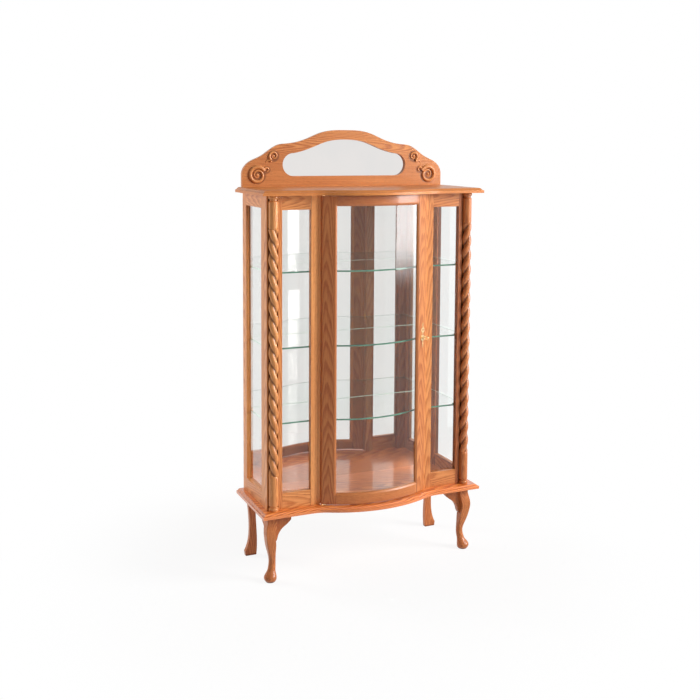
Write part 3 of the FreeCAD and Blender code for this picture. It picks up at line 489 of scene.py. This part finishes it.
def glassMaterial(name, body, tint):
    material, tree, shader = newMaterial(name)
    smears = wornSurface(tree, shader, *sheets["glassWear"])
    shader.inputs["Transmission Weight"].default_value = 1.0
    shader.inputs["IOR"].default_value = sheets["glassDensity"]
    smeared = (*(part * less for part, less in zip(body, sheets["smearTint"])), 1)
    share = mathNode(tree, "MULTIPLY", smears, sheets["smearShare"])
    tree.links.new(mixColour(tree, share, body, smeared), shader.inputs["Base Color"])
    clearOnShadow(tree, shader, tint)
    return material


def edgeMaterial(name, bright, deep, glow):
    # the green edge of float glass, its colour the glass's own; the emission is painted light for
    # the light trapped in the sheet
    material, tree, shader = newMaterial(name)
    place = tree.nodes.new("ShaderNodeTexCoord").outputs["Object"]
    drawn = vectorNode(tree, "MULTIPLY", place, (1, 1, sheets["edgeStretch"]))
    streak = noiseNode(tree, drawn, sheets["edgeScale"], sheets["edgeDetail"])
    streak = rangeNode(tree, streak, *sheets["edgeRange"])
    green = mixColour(tree, streak, bright, deep)
    tree.links.new(green, shader.inputs["Base Color"])
    tree.links.new(green, shader.inputs["Emission Color"])
    shader.inputs["Emission Strength"].default_value = glow
    rough = rangeNode(tree, streak, 0.0, 1.0, *sheets["edgeRoughness"], "LINEAR")
    tree.links.new(rough, shader.inputs["Roughness"])
    return material


def mirrorMaterial(name):
    material, tree, shader = newMaterial(name)
    smears = wornSurface(tree, shader, *sheets["mirrorWear"])
    silver = mixColour(tree, smears, sheets["silver"], sheets["dustySilver"])
    tree.links.new(silver, shader.inputs["Base Color"])
    shader.inputs["Metallic"].default_value = 1.0
    return material


def metalMaterial(name, bright, dull, low, high):
    material, tree, shader = newMaterial(name)
    smears = wornSurface(tree, shader, metal["wearScale"], low, high)
    tree.links.new(mixColour(tree, smears, bright, dull), shader.inputs["Base Color"])
    shader.inputs["Metallic"].default_value = 1.0
    bump = tree.nodes.new("ShaderNodeBump")
    bump.inputs["Strength"].default_value = metal["bump"]
    bump.inputs["Distance"].default_value = metal["bumpDepth"]
    tree.links.new(smears, bump.inputs["Height"])
    tree.links.new(bump.outputs["Normal"], shader.inputs["Normal"])
    return material


clearGlass = glassMaterial("clearGlass", (0.985, 0.992, 0.988, 1), (0.96, 0.975, 0.97, 1))
shelfGlass = glassMaterial("shelfGlass", (0.955, 0.99, 0.978, 1), (0.90, 0.96, 0.94, 1))
# the last number is each edge's painted glow
shelfEdge = edgeMaterial("shelfEdge", (0.075, 0.215, 0.135, 1), (0.024, 0.085, 0.052, 1), 0.22)
shelfRear = edgeMaterial("shelfRear", (0.42, 0.54, 0.46, 1), (0.30, 0.41, 0.34, 1), 0.55)
mirrorSilver = mirrorMaterial("mirrorSilver")
lockBrass = metalMaterial("lockBrass", (0.90, 0.69, 0.40, 1), (0.66, 0.44, 0.21, 1), 0.16, 0.34)
zincSteel = metalMaterial("zincSteel", (0.62, 0.62, 0.60, 1), (0.42, 0.42, 0.41, 1), 0.25, 0.45)
bronzedSteel = metalMaterial("bronzedSteel", (0.26, 0.17, 0.10, 1), (0.15, 0.09, 0.05, 1), 0.3, 0.5)
print("materials ready")


# each painted shade: the line or point it gathers at, how much each axis counts, the distance it is
# full to, the distance it ends at, and its strength

# painted shade about the crown's carving: the depth counts four times, so that the shade stays on
# the board's front
carvingShade = [((0.4195, 0.207, 1.7095), (1, 4, 1), 0.036, 0.044, 0.62),
                ((0.3755, 0.207, 1.7315), (1, 4, 1), 0.013, 0.020, 0.55),
                ((0.3440, 0.207, 1.7925), (1, 4, 1), 0.022, 0.029, 0.62)]

easing = {"frame": 0.0011, "board": 0.0009, "bead": 0.0005, "crown": 0.0014}
# how far each piece's grain is moved along from the last one's, so that no two are alike
grainStep, grainSpan = 0.37, 1.7

# flat wood, an eased copy of each CAD piece: node, grain, heart line (across, deep), tone, easing;
# a tone below one on the door pieces, the right glazing beads and the right rear stile is painted
# shade, the right corner post's low tone is a painted shadow of the right column, and the left
# centre post's tone above one is painted light
flatPieces = [
    ("base_board", "X", (0.52, 0.09), 0.98, "board"),
    ("top_board", "X", (0.60, 0.03), 1.0, "board"),
    ("side_front_stile_left", "Z", (0.10, 0.03), 1.04, "frame"),
    ("side_front_stile_right", "Z", (-0.09, 0.04), 1.0, "frame"),
    ("side_rear_stile_left", "Z", (0.08, -0.02), 1.04, "frame"),
    ("side_rear_stile_right", "Z", (-0.11, 0.02), 0.86, "frame"),
    ("side_top_rail_left", "Y", (0.10, 0.02), 1.0, "frame"),
    ("side_top_rail_right", "Y", (-0.10, 0.02), 1.0, "frame"),
    ("side_bottom_rail_left", "Y", (0.09, -0.03), 1.0, "frame"),
    ("side_bottom_rail_right", "Y", (-0.09, 0.03), 1.0, "frame"),
    ("corner_post_left", "Z", (0.02, 0.08), 1.0, "frame"),
    ("corner_post_right", "Z", (-0.03, 0.09), 0.64, "frame"),
    ("centre_post_left", "Z", (0.11, 0.02), 1.14, "frame"),
    ("centre_post_right", "Z", (-0.02, 0.10), 0.98, "frame"),
    ("panel_top_rail_left", "X", (0.01, 0.06), 1.01, "frame"),
    ("panel_top_rail_right", "X", (0.02, 0.08), 0.90, "frame"),
    ("panel_bottom_rail_left", "X", (-0.01, 0.07), 1.08, "frame"),
    ("panel_bottom_rail_right", "X", (0.02, 0.06), 0.90, "frame"),
    ("glazing_beads_left", "Z", (0.05, 0.05), 0.9, "bead"),
    ("glazing_beads_right", "Z", (0.06, 0.05), 0.66, "bead"),
    ("door_hinge_stile", "Z", (0.03, 0.045), 0.76, "frame"),
    ("door_lock_stile", "Z", (-0.03, 0.07), 0.84, "frame"),
    ("door_top_rail", "X", (0.62, 0.02), 0.78, "frame"),
    ("door_bottom_rail", "X", (0.58, 0.02), 0.83, "frame"),
    ("door_beads", "Z", (0.05, 0.06), 0.9, "bead"),
    ("door_stop", "X", (0.02, 0.06), 0.9, "bead"),
    ("crown_board", "X", (0.055, 0.055), 0.98, "crown"),
    ("rear_leg_left", "Z", (0.02, 0.07), 0.72, "crown"),
    ("rear_leg_right", "Z", (-0.02, 0.08), 0.72, "crown"),
    ("leg_ears_left", "Z", (0.03, 0.06), 0.72, "frame"),
    ("leg_ears_right", "Z", (-0.03, 0.06), 0.72, "frame"),
]

# painted shade: the feet are darkest where they meet the floor
soleShade = [((0, 0, 0), (0, 0, 1), 0.0020, 0.0095, 0.6)]
# painted shade: the door's inner face, which only the mirror shows from the front, is a little
# darker
insideShade = [((0, 0.275, 0), (1, 1, 0), 0.4484, 0.4500, 0.30)]
# painted shade in the groove beside the glass on the lock stile
quirkShade = [((0.1955, 0, 0), (1, 0, 0), 0.0011, 0.0027, 0.62)]
columnAxis = (0.4555, -0.1078)


def nookShade(side):
    # painted shade: the hollow behind a column is darker than the faces around it
    return [((side * columnAxis[0], columnAxis[1], 0), (1, 1, 0), 0.0212, 0.0236, 0.7)]


# figure, ring spacing, lacquer and tint of the pieces that differ from the rest
special = {
    "base_board": {"figure": 0.95, "spacing": 0.0052, "coat": (0.9, 0.10, 1.6),
                   "tint": (1.16, 0.95, 0.68)},
    "crown_board": {"figure": 0.62, "spacing": 0.0044},
    "top_board": {"coat": (0.0, 0.14, 1.5), "tint": (1.0, 0.93, 0.80)},
    "door_top_rail": {"coat": (0.42, 0.14, 1.5)},
}
# painted shade on each piece: the carving, the nooks behind the columns, the right rear stile's
# front edge, the left centre post's reveal, a narrow band on the right centre post, the door's
# inner face and the feet
shadeByPiece = {"crown_board": carvingShade,
          "side_front_stile_left": nookShade(-1), "side_front_stile_right": nookShade(1),
          "corner_post_left": nookShade(-1), "corner_post_right": nookShade(1),
          "side_rear_stile_right": [((0, 0.177, 0), (0, 1, 0), 0.0014, 0.0024, 0.9)],
          "centre_post_left": [((-0.2885, 0, 0), (1, 0, 0), 0.0010, 0.0034, 0.55)],
          "centre_post_right": [((0, -0.085, 0), (0, 1, 0), 0.0008, 0.0016, 0.34)],
          "door_bottom_rail": insideShade, "door_top_rail": insideShade,
          "door_hinge_stile": insideShade, "door_lock_stile": insideShade + quirkShade,
          "rear_leg_left": soleShade, "rear_leg_right": soleShade}

for index, (node, along, pith, tone, kind) in enumerate(flatPieces):
    material = oakMaterial("oak." + node, along, nodeCentre(node), pith, tone,
                           glazes=shadeByPiece.get(node, ()), shift=grainStep * index % grainSpan,
                           **special.get(node, {}))
    piece = workingCopy(node, node + ".wood")
    easeEdges(piece, easing[kind])
    settleNormals(piece)
    fit(piece, material, "oak", node)
print("flat wood eased:", len(flatPieces))


# a column: a rope between a turned foot and a turned head
ropeColumn = {
    "x": columnAxis[0], "y": columnAxis[1],
    "bottom": 0.310, "top": 1.636,
    "ropeBottom": 0.458, "ropeTop": 1.497,
    "strandRadius": 0.0138, "outerRadius": 0.0205,
    "turns": 8, "stepsPerTurn": 40, "strandSides": 36, "turnedSides": 48, "smoothDegrees": 42,
    # painted shade and light: the right column's tone is deeper, as it stands in the cabinet's
    # shade, and the left column's is lighter
    "tone": 0.95, "toneBySide": 0.16, "figure": 0.32, "pith": (0.03, 0.06),
    # painted shade in the rope's grooves: full inside the first radius, gone at the second
    "grooveDeep": 0.0122, "grooveProud": 0.0168, "grooveShade": 0.7,
    # radius and height over the floor of the case, then down from the ceiling
    "foot": [(0.0186, 0.0), (0.0200, 0.0015), (0.0206, 0.0045), (0.0206, 0.0095), (0.0200, 0.0125),
             (0.0184, 0.0140), (0.0160, 0.0155), (0.0158, 0.0190), (0.0180, 0.0205),
             (0.0194, 0.0225), (0.0196, 0.0250), (0.0195, 0.1380), (0.0189, 0.1440),
             (0.0160, 0.1500), (0.0100, 0.1530)],
    "head": [(0.0186, 0.0), (0.0202, 0.0015), (0.0207, 0.0050), (0.0207, 0.0090), (0.0200, 0.0120),
             (0.0182, 0.0135), (0.0158, 0.0150), (0.0154, 0.0220), (0.0176, 0.0236),
             (0.0192, 0.0255), (0.0197, 0.0285), (0.0195, 0.0330),
             (0.0195, 0.1290), (0.0189, 0.1350), (0.0160, 0.1410), (0.0100, 0.1440)],
}


def turnOnLathe(name, profile, x, y, around):
    # a disc drawn up through the profile, as a turner would size it
    radius, z = profile[0]
    bpy.ops.mesh.primitive_circle_add(vertices=around, radius=radius, fill_type="NGON",
                                      location=(x, y, z))
    piece = bpy.context.view_layer.objects.active
    piece.name = name
    editAll(piece)
    for nextRadius, nextZ in profile[1:]:
        bpy.ops.mesh.extrude_region_move(TRANSFORM_OT_translate={"value": (0, 0, nextZ - z)})
        grow = nextRadius / radius
        bpy.ops.transform.resize(value=(grow, grow, 1), center_override=(x, y, nextZ))
        radius, z = nextRadius, nextZ
    leaveEdit()
    applyPlace(piece)
    fixNormals(piece)
    return piece


def twistRope(name):
    c = ropeColumn
    offset = c["outerRadius"] - c["strandRadius"]
    start = (c["x"], c["y"], c["ropeBottom"])
    selectNothing()
    bpy.ops.mesh.primitive_circle_add(vertices=c["strandSides"], radius=c["strandRadius"],
                                      location=(c["x"] + offset, c["y"], c["ropeBottom"]))
    rope = bpy.context.view_layer.objects.active
    rope.name = name
    editAll(rope)
    bpy.ops.mesh.bisect(plane_co=start, plane_no=(1, 0, 0), clear_inner=True)
    bpy.ops.mesh.select_all(action="SELECT")
    bpy.ops.mesh.duplicate()
    bpy.ops.transform.rotate(value=math.pi, orient_axis="Z", center_override=start)
    bpy.ops.mesh.select_all(action="SELECT")
    bpy.ops.mesh.remove_doubles(threshold=tolerance["ropeSeam"])
    leaveEdit()
    applyPlace(rope)
    # the screw turns about the object's own origin, so that is put on the column's axis
    rope.data.transform(Matrix.Translation((-c["x"], -c["y"], 0)))
    rope.location = (c["x"], c["y"], 0)
    twist = rope.modifiers.new("twist", "SCREW")
    twist.axis = "Z"
    twist.iterations = c["turns"]
    twist.angle = math.radians(360)
    twist.screw_offset = (c["ropeTop"] - c["ropeBottom"]) / c["turns"]
    twist.steps = c["stepsPerTurn"]
    twist.render_steps = c["stepsPerTurn"]
    twist.use_normal_calculate = True
    applyModifier(rope, twist)
    applyPlace(rope)
    editAll(rope)
    bpy.ops.mesh.remove_doubles(threshold=tolerance["merge"])
    bpy.ops.mesh.select_all(action="DESELECT")
    bpy.ops.mesh.select_non_manifold()
    bpy.ops.mesh.fill_holes(sides=0)
    leaveEdit()
    fixNormals(rope)
    return rope


def buildColumn(name):
    c = ropeColumn
    selectNothing()
    foot = turnOnLathe("columnFoot", [(r, c["bottom"] + z) for r, z in c["foot"]],
                       c["x"], c["y"], c["turnedSides"])
    selectNothing()
    head = turnOnLathe("columnHead", [(r, c["top"] - z) for r, z in c["head"]],
                       c["x"], c["y"], c["turnedSides"])
    rope = twistRope("columnRope")
    return joinPieces(name, [rope, foot, head])


c = ropeColumn
rightColumn = buildColumn("rope_column_right.turned")
smoothByAngle(rightColumn, c["smoothDegrees"])
leftColumn = mirroredCopy(rightColumn, "rope_column_left.turned")
smoothByAngle(leftColumn, c["smoothDegrees"])
for column, side, label in ((rightColumn, 1, "rope_column_right"),
                            (leftColumn, -1, "rope_column_left")):
    axis = (side * c["x"], c["y"], 0)
    # painted shade in the rope's grooves
    ropeGrooveShade = [(axis, (1, 1, 0), c["grooveDeep"], c["grooveProud"], c["grooveShade"])]
    across, deep = c["pith"]
    material = oakMaterial("oak." + label, "Z", (axis[0], axis[1], 1.0), (across * side, deep),
                           c["tone"] - c["toneBySide"] * side, figure=c["figure"], glazes=ropeGrooveShade)
    fit(column, material, "oak", label)
print("columns turned")


# the two scrolls carved on each side of the crown
carving = {
    "faceY": 0.207, "strand": 0.0092, "strandSides": 14, "smoothDegrees": 60,
    "eyeShift": 0.001, "eyeDepth": 0.8, "eyeSegments": 20, "eyeRings": 12,
    "pith": (0.055, 0.055), "tone": 1.02, "figure": 0.3,
    # each scroll: its centre, the eye's radius, and its spiral and branch, each as offset from
    # the centre, reach, start in degrees, turns, share of the strand, shrink, steps,
    # clockwise, hold
    "scrolls": [
        {"centre": (0.4195, 1.7095), "eye": 0.0075,
         "spiral": ((0, 0), 0.0355, 150, 1.9, 1, 0.20, 60, False, 2.0),
         "branch": ((-0.044, 0.022), 0.0140, -20, 0.85, 0.70, 0.36, 24, True, 1.0)},
        {"centre": (0.3440, 1.7925), "eye": 0.0056,
         "spiral": ((0, 0), 0.0215, -60, 1.4, 0.78, 0.24, 42, True, 1.4),
         "branch": ((0.028, -0.030), 0.0165, 165, 0.40, 0.62, 0.45, 16, False, 1.0)},
    ],
}


def volute(centre, offset, reach, startTurn, turns, thickness, shrink, steps, clockwise, hold):
    # a round strand led inward along a spiral, slowly at first for a hold above one;
    # half of it lies below the board's face
    strand = carving["strand"] * thickness
    cx, cz = centre[0] + offset[0], centre[1] + offset[1]
    middle = Vector((cx, carving["faceY"], cz))
    begin = math.radians(startTurn)
    place = (cx + reach * math.cos(begin), carving["faceY"], cz + reach * math.sin(begin))
    selectNothing()
    bpy.ops.mesh.primitive_circle_add(vertices=carving["strandSides"], radius=strand,
                                      fill_type="NGON", location=place, rotation=(0, -begin, 0))
    piece = bpy.context.view_layer.objects.active
    editAll(piece)
    step = math.radians(turns * 360 / steps) * (1 if clockwise else -1)
    for stepIndex in range(steps):
        share = (stepIndex + 1) ** hold - stepIndex ** hold
        factor = shrink ** (share / steps ** hold)
        bpy.ops.mesh.extrude_region_move(TRANSFORM_OT_translate={"value": (0, 0, 0)})
        bpy.ops.transform.rotate(value=step, orient_axis="Y", center_override=middle)
        bpy.ops.transform.resize(value=(factor, factor, factor), center_override=middle)
    leaveEdit()
    applyPlace(piece)
    fixNormals(piece)
    return piece


def scrollEye(x, z, radius):
    place = (x + carving["eyeShift"], carving["faceY"], z)
    selectNothing()
    bpy.ops.mesh.primitive_uv_sphere_add(segments=carving["eyeSegments"],
                                         ring_count=carving["eyeRings"], radius=radius,
                                         location=place)
    piece = bpy.context.view_layer.objects.active
    editAll(piece)
    bpy.ops.transform.resize(value=(1, carving["eyeDepth"], 1), center_override=place)
    leaveEdit()
    applyPlace(piece)
    return piece


def carveScrolls(name):
    parts = []
    for scroll in carving["scrolls"]:
        parts.append(volute(scroll["centre"], *scroll["spiral"]))
        parts.append(scrollEye(*scroll["centre"], scroll["eye"]))
        parts.append(volute(scroll["centre"], *scroll["branch"]))
    return joinPieces(name, parts)


rightCarving = carveScrolls("carved_scrolls_right.carved")
smoothByAngle(rightCarving, carving["smoothDegrees"])
leftCarving = mirroredCopy(rightCarving, "carved_scrolls_left.carved")
smoothByAngle(leftCarving, carving["smoothDegrees"])
for piece, label in ((rightCarving, "carved_scrolls_right"), (leftCarving, "carved_scrolls_left")):
    material = oakMaterial("oak." + label, "X", nodeCentre(label), carving["pith"],
                           carving["tone"], figure=carving["figure"])
    fit(piece, material, "oak", label)
print("scrolls carved")


frontLeg = {"smoothDegrees": 38, "pith": (0.03, 0.05), "tone": 0.74}

for side, label in ((1, "front_leg_right"), (-1, "front_leg_left")):
    leg = workingCopy(label, label + ".shaped")
    smoothByAngle(leg, frontLeg["smoothDegrees"])
    across, deep = frontLeg["pith"]
    material = oakMaterial("oak." + label, "Z", nodeCentre(label), (across * side, deep),
                           frontLeg["tone"], glazes=soleShade)
    fit(leg, material, "oak", label)
print("legs shaped")


# each plate's eased edge
plates = {"escutcheon": 0.0004, "lock_strike": 0.0002, "door_pivot_leaves": 0.0002,
          "case_pivot_plates": 0.0002}
keySmoothDegrees = 40

for label, width in plates.items():
    plate = workingCopy(label, label + ".plate")
    easeEdges(plate, width)
    settleNormals(plate)
    fit(plate, lockBrass, "brass", label)
key = workingCopy("lock_key", "lock_key.brass")
smoothByAngle(key, keySmoothDegrees)
fit(key, lockBrass, "brass", "lock_key")
for label in ("lock_case", "lock_bolt", "shelf_clips"):
    dress(label, lockBrass)
for label in ("crown_screws", "leg_bolts"):
    dress(label, zincSteel)
dress("case_screws", bronzedSteel)
for label in ("side_pane_left", "side_pane_right", "front_pane_left", "front_pane_right",
              "door_glass"):
    dress(label, clearGlass)

# only the front edges look deep green; the ends and the rear are paler and glow more, which is
# painted light
shelfEdges = {"upright": 0.6, "pale": 0.8}

for label in ("glass_shelf_1", "glass_shelf_2", "glass_shelf_3"):
    pane = workingCopy(label, label + ".pane")
    fit(pane, shelfGlass, "shelf_glass", label)
    pane.data.materials.append(shelfEdge)
    pane.data.materials.append(shelfRear)
    for face in pane.data.polygons:
        if abs(face.normal.z) < shelfEdges["upright"]:
            pale = max(face.normal.y, abs(face.normal.x)) > shelfEdges["pale"]
            face.material_index = 2 if pale else 1
        face.use_smooth = False
for label in ("back_mirror", "crown_mirror"):
    dress(label, mirrorSilver)

veneer = {"pith": (0.04, 0.20), "tone": 0.92, "figure": 0.35, "spacing": 0.011}

for label, along in (("back_board", "Z"), ("crown_backing", "X")):
    dress(label, oakMaterial("veneer." + label, along, nodeCentre(label), **veneer))
print("lock, glass and backs dressed")


studio = {
    "keyPlace": (4.65, -3.38, 3.35), "keyAim": (0.0, 0.0, 1.05), "keyPower": 520.0, "keySize": 3.0,
    "fillPower": 180.0,
    "sidePlace": (-2.45, 2.25, 1.9), "sidePower": 84.0, "sideSize": 1.5,
    "skyOnObject": 0.21, "floorColour": (0.86, 0.86, 0.86, 1),
    "floorShadow": 0.12, "fadeNear": 0.75, "fadeFar": 1.6,
    "floorSize": 40, "floorRoughness": 0.6,
}


def seenDirectly(tree):
    # one for what the camera sees, straight or by a mirror or through glass
    path = tree.nodes.new("ShaderNodeLightPath")
    seen = mathNode(tree, "MAXIMUM", path.outputs["Is Camera Ray"], path.outputs["Is Glossy Ray"])
    return mathNode(tree, "MAXIMUM", seen, path.outputs["Is Transmission Ray"])


selectNothing()
bpy.ops.mesh.primitive_plane_add(size=studio["floorSize"], location=(0, 0, 0))
floor = bpy.context.view_layer.objects.active
floor.name = "studioFloor"
floorMaterial, tree, shader = newMaterial("studioFloor")
shader.inputs["Base Color"].default_value = studio["floorColour"]
shader.inputs["Roughness"].default_value = studio["floorRoughness"]
shader.inputs["Specular IOR Level"].default_value = 0.0
seen = seenDirectly(tree)
spot = tree.nodes.new("ShaderNodeTexCoord")
away = vectorNode(tree, "LENGTH", spot.outputs["Object"])
lit = rangeNode(tree, away, studio["fadeNear"], studio["fadeFar"], 1 - studio["floorShadow"], 1.0)
white = tree.nodes.new("ShaderNodeEmission")
white.inputs["Strength"].default_value = 1.0
mix = tree.nodes.new("ShaderNodeMixShader")
tree.links.new(mathNode(tree, "MULTIPLY", seen, lit), mix.inputs["Fac"])
tree.links.new(shader.outputs["BSDF"], mix.inputs[1])
tree.links.new(white.outputs["Emission"], mix.inputs[2])
tree.links.new(mix.outputs["Shader"], tree.nodes["Material Output"].inputs["Surface"])
floor.data.materials.append(floorMaterial)

world = bpy.data.worlds.new("studioWhite")
bpy.context.scene.world = world
world.use_nodes = True
tree = world.node_tree
sky = tree.nodes["Background"]
sky.inputs["Color"].default_value = (1, 1, 1, 1)
seen = seenDirectly(tree)
tree.links.new(rangeNode(tree, seen, 0.0, 1.0, studio["skyOnObject"], 1.0, "LINEAR"),
               sky.inputs["Strength"])


def areaLight(name, place, aim, power, size):
    lamp = bpy.data.lights.new(name, "AREA")
    lamp.energy = power
    lamp.shape = "DISK"
    lamp.size = size
    holder = bpy.data.objects.new(name, lamp)
    bpy.context.scene.collection.objects.link(holder)
    holder.location = place
    holder.rotation_euler = (Vector(aim) - Vector(place)).to_track_quat("-Z", "Y").to_euler()
    return holder


areaLight("keyLight", studio["keyPlace"], studio["keyAim"], studio["keyPower"], studio["keySize"])
sideLight = areaLight("sideLight", studio["sidePlace"], studio["keyAim"], studio["sidePower"],
                      studio["sideSize"])
sideLight.visible_glossy = False

# the side light is kept off the door and off the right end, which it would reach through the glass
lightOff = ("door_", "centre_post_right", "corner_post_right", "rope_column_right", "panel_",
            "glazing_beads_right", "side_front_stile_right", "side_rear_stile_right",
            "side_top_rail_right", "side_bottom_rail_right")
litBySide = bpy.data.collections.new("litBySide")
for piece in bpy.context.scene.objects:
    if piece.type == "MESH" and not piece.name.startswith(lightOff):
        litBySide.objects.link(piece)
sideLight.light_linking.receiver_collection = litBySide

# a part of the key light that the bowed door doesn't hold back from the left post and base board
fillLight = areaLight("fillLight", studio["keyPlace"], studio["keyAim"], studio["fillPower"],
                      studio["keySize"])
fillLight.visible_glossy = False
litByFill = bpy.data.collections.new("litByFill")
for piece in bpy.context.scene.objects:
    if piece.name.startswith(("centre_post_left.", "base_board.")):
        litByFill.objects.link(piece)
fillLight.light_linking.receiver_collection = litByFill
blocksFill = bpy.data.collections.new("blocksFill")
blocksFill.objects.link(floor)
fillLight.light_linking.blocker_collection = blocksFill

# white cards that only reflections see: one stands tall in the back mirror, the other
# lays a soft glare over the right half of the bent glass, brightest at its top left
cards = {
    "mirrorHigh": {"corners": ((1.25, -4.0), (1.36, -4.0)), "low": 0.72, "high": 1.40,
                   "left": 1.5, "right": 1.5, "full": None},
    "mirrorLow": {"corners": ((1.255, -4.0), (1.365, -4.0)), "low": 0.04, "high": 0.55,
                  "left": 1.5, "right": 1.5, "full": None},
    "doorGlare": {"corners": ((2.34, -2.50), (3.30, -1.05)), "low": 0.76, "high": 1.70,
                  "left": 15.0, "right": 8.0, "full": 1.22},
}


def cardMaterial(name, card):
    # the object's own X runs along the card and its own Y up the card, both from -1 to 1
    material, tree, shader = newMaterial(name)
    place = tree.nodes.new("ShaderNodeTexCoord").outputs["Object"]
    split = tree.nodes.new("ShaderNodeSeparateXYZ")
    tree.links.new(place, split.inputs[0])
    strength = rangeNode(tree, split.outputs["X"], -1.0, 1.0, card["left"], card["right"], "LINEAR")
    glow = tree.nodes.new("ShaderNodeEmission")
    if card["full"]:
        full = 2 * (card["full"] - card["low"]) / (card["high"] - card["low"]) - 1
        rise = rangeNode(tree, split.outputs["Y"], -1.0, full)
        rise = mathNode(tree, "MULTIPLY", strength, rise)
        strength = mathNode(tree, "ADD", rise, 1.0)
    tree.links.new(strength, glow.inputs["Strength"])
    tree.links.new(glow.outputs["Emission"], tree.nodes["Material Output"].inputs["Surface"])
    return material


for name, card in cards.items():
    (x0, y0), (x1, y1) = card["corners"]
    selectNothing()
    bpy.ops.mesh.primitive_plane_add(size=2)
    board = bpy.context.view_layer.objects.active
    board.name = name
    board.location = ((x0 + x1) / 2, (y0 + y1) / 2, (card["low"] + card["high"]) / 2)
    board.rotation_euler = (math.radians(90), 0, math.atan2(y1 - y0, x1 - x0))
    board.scale = (math.hypot(x1 - x0, y1 - y0) / 2, (card["high"] - card["low"]) / 2, 1)
    board.data.materials.append(cardMaterial(name, card))
    board.visible_camera = False
    board.visible_diffuse = False
    board.visible_shadow = False

view = {
    "place": (-1.857612, -4.126545, 1.856537),
    "yaw": 0.425692, "pitch": 0.089795, "roll": 0.0071025,
    "lens": 53.35, "sensor": 36.0, "shiftX": -0.02374, "shiftY": -0.16353,
}

lens = bpy.data.cameras.new("photoCamera")
lens.sensor_width = view["sensor"]
lens.lens = view["lens"]
lens.shift_x = view["shiftX"]
lens.shift_y = view["shiftY"]
camera = bpy.data.objects.new("photoCamera", lens)
bpy.context.scene.collection.objects.link(camera)
yaw, pitch, roll = view["yaw"], view["pitch"], view["roll"]
ahead = Vector((math.sin(yaw) * math.cos(pitch), math.cos(yaw) * math.cos(pitch), -math.sin(pitch)))
right = Vector((math.cos(yaw), -math.sin(yaw), 0))
above = right.cross(ahead)
rolledRight = right * math.cos(roll) + above * math.sin(roll)
rolledUp = above * math.cos(roll) - right * math.sin(roll)
turn = Matrix((rolledRight, rolledUp, -ahead)).transposed().to_4x4()
camera.matrix_world = Matrix.Translation(view["place"]) @ turn
bpy.context.scene.camera = camera

bpy.context.scene.view_settings.view_transform = "Standard"
print("studio set")
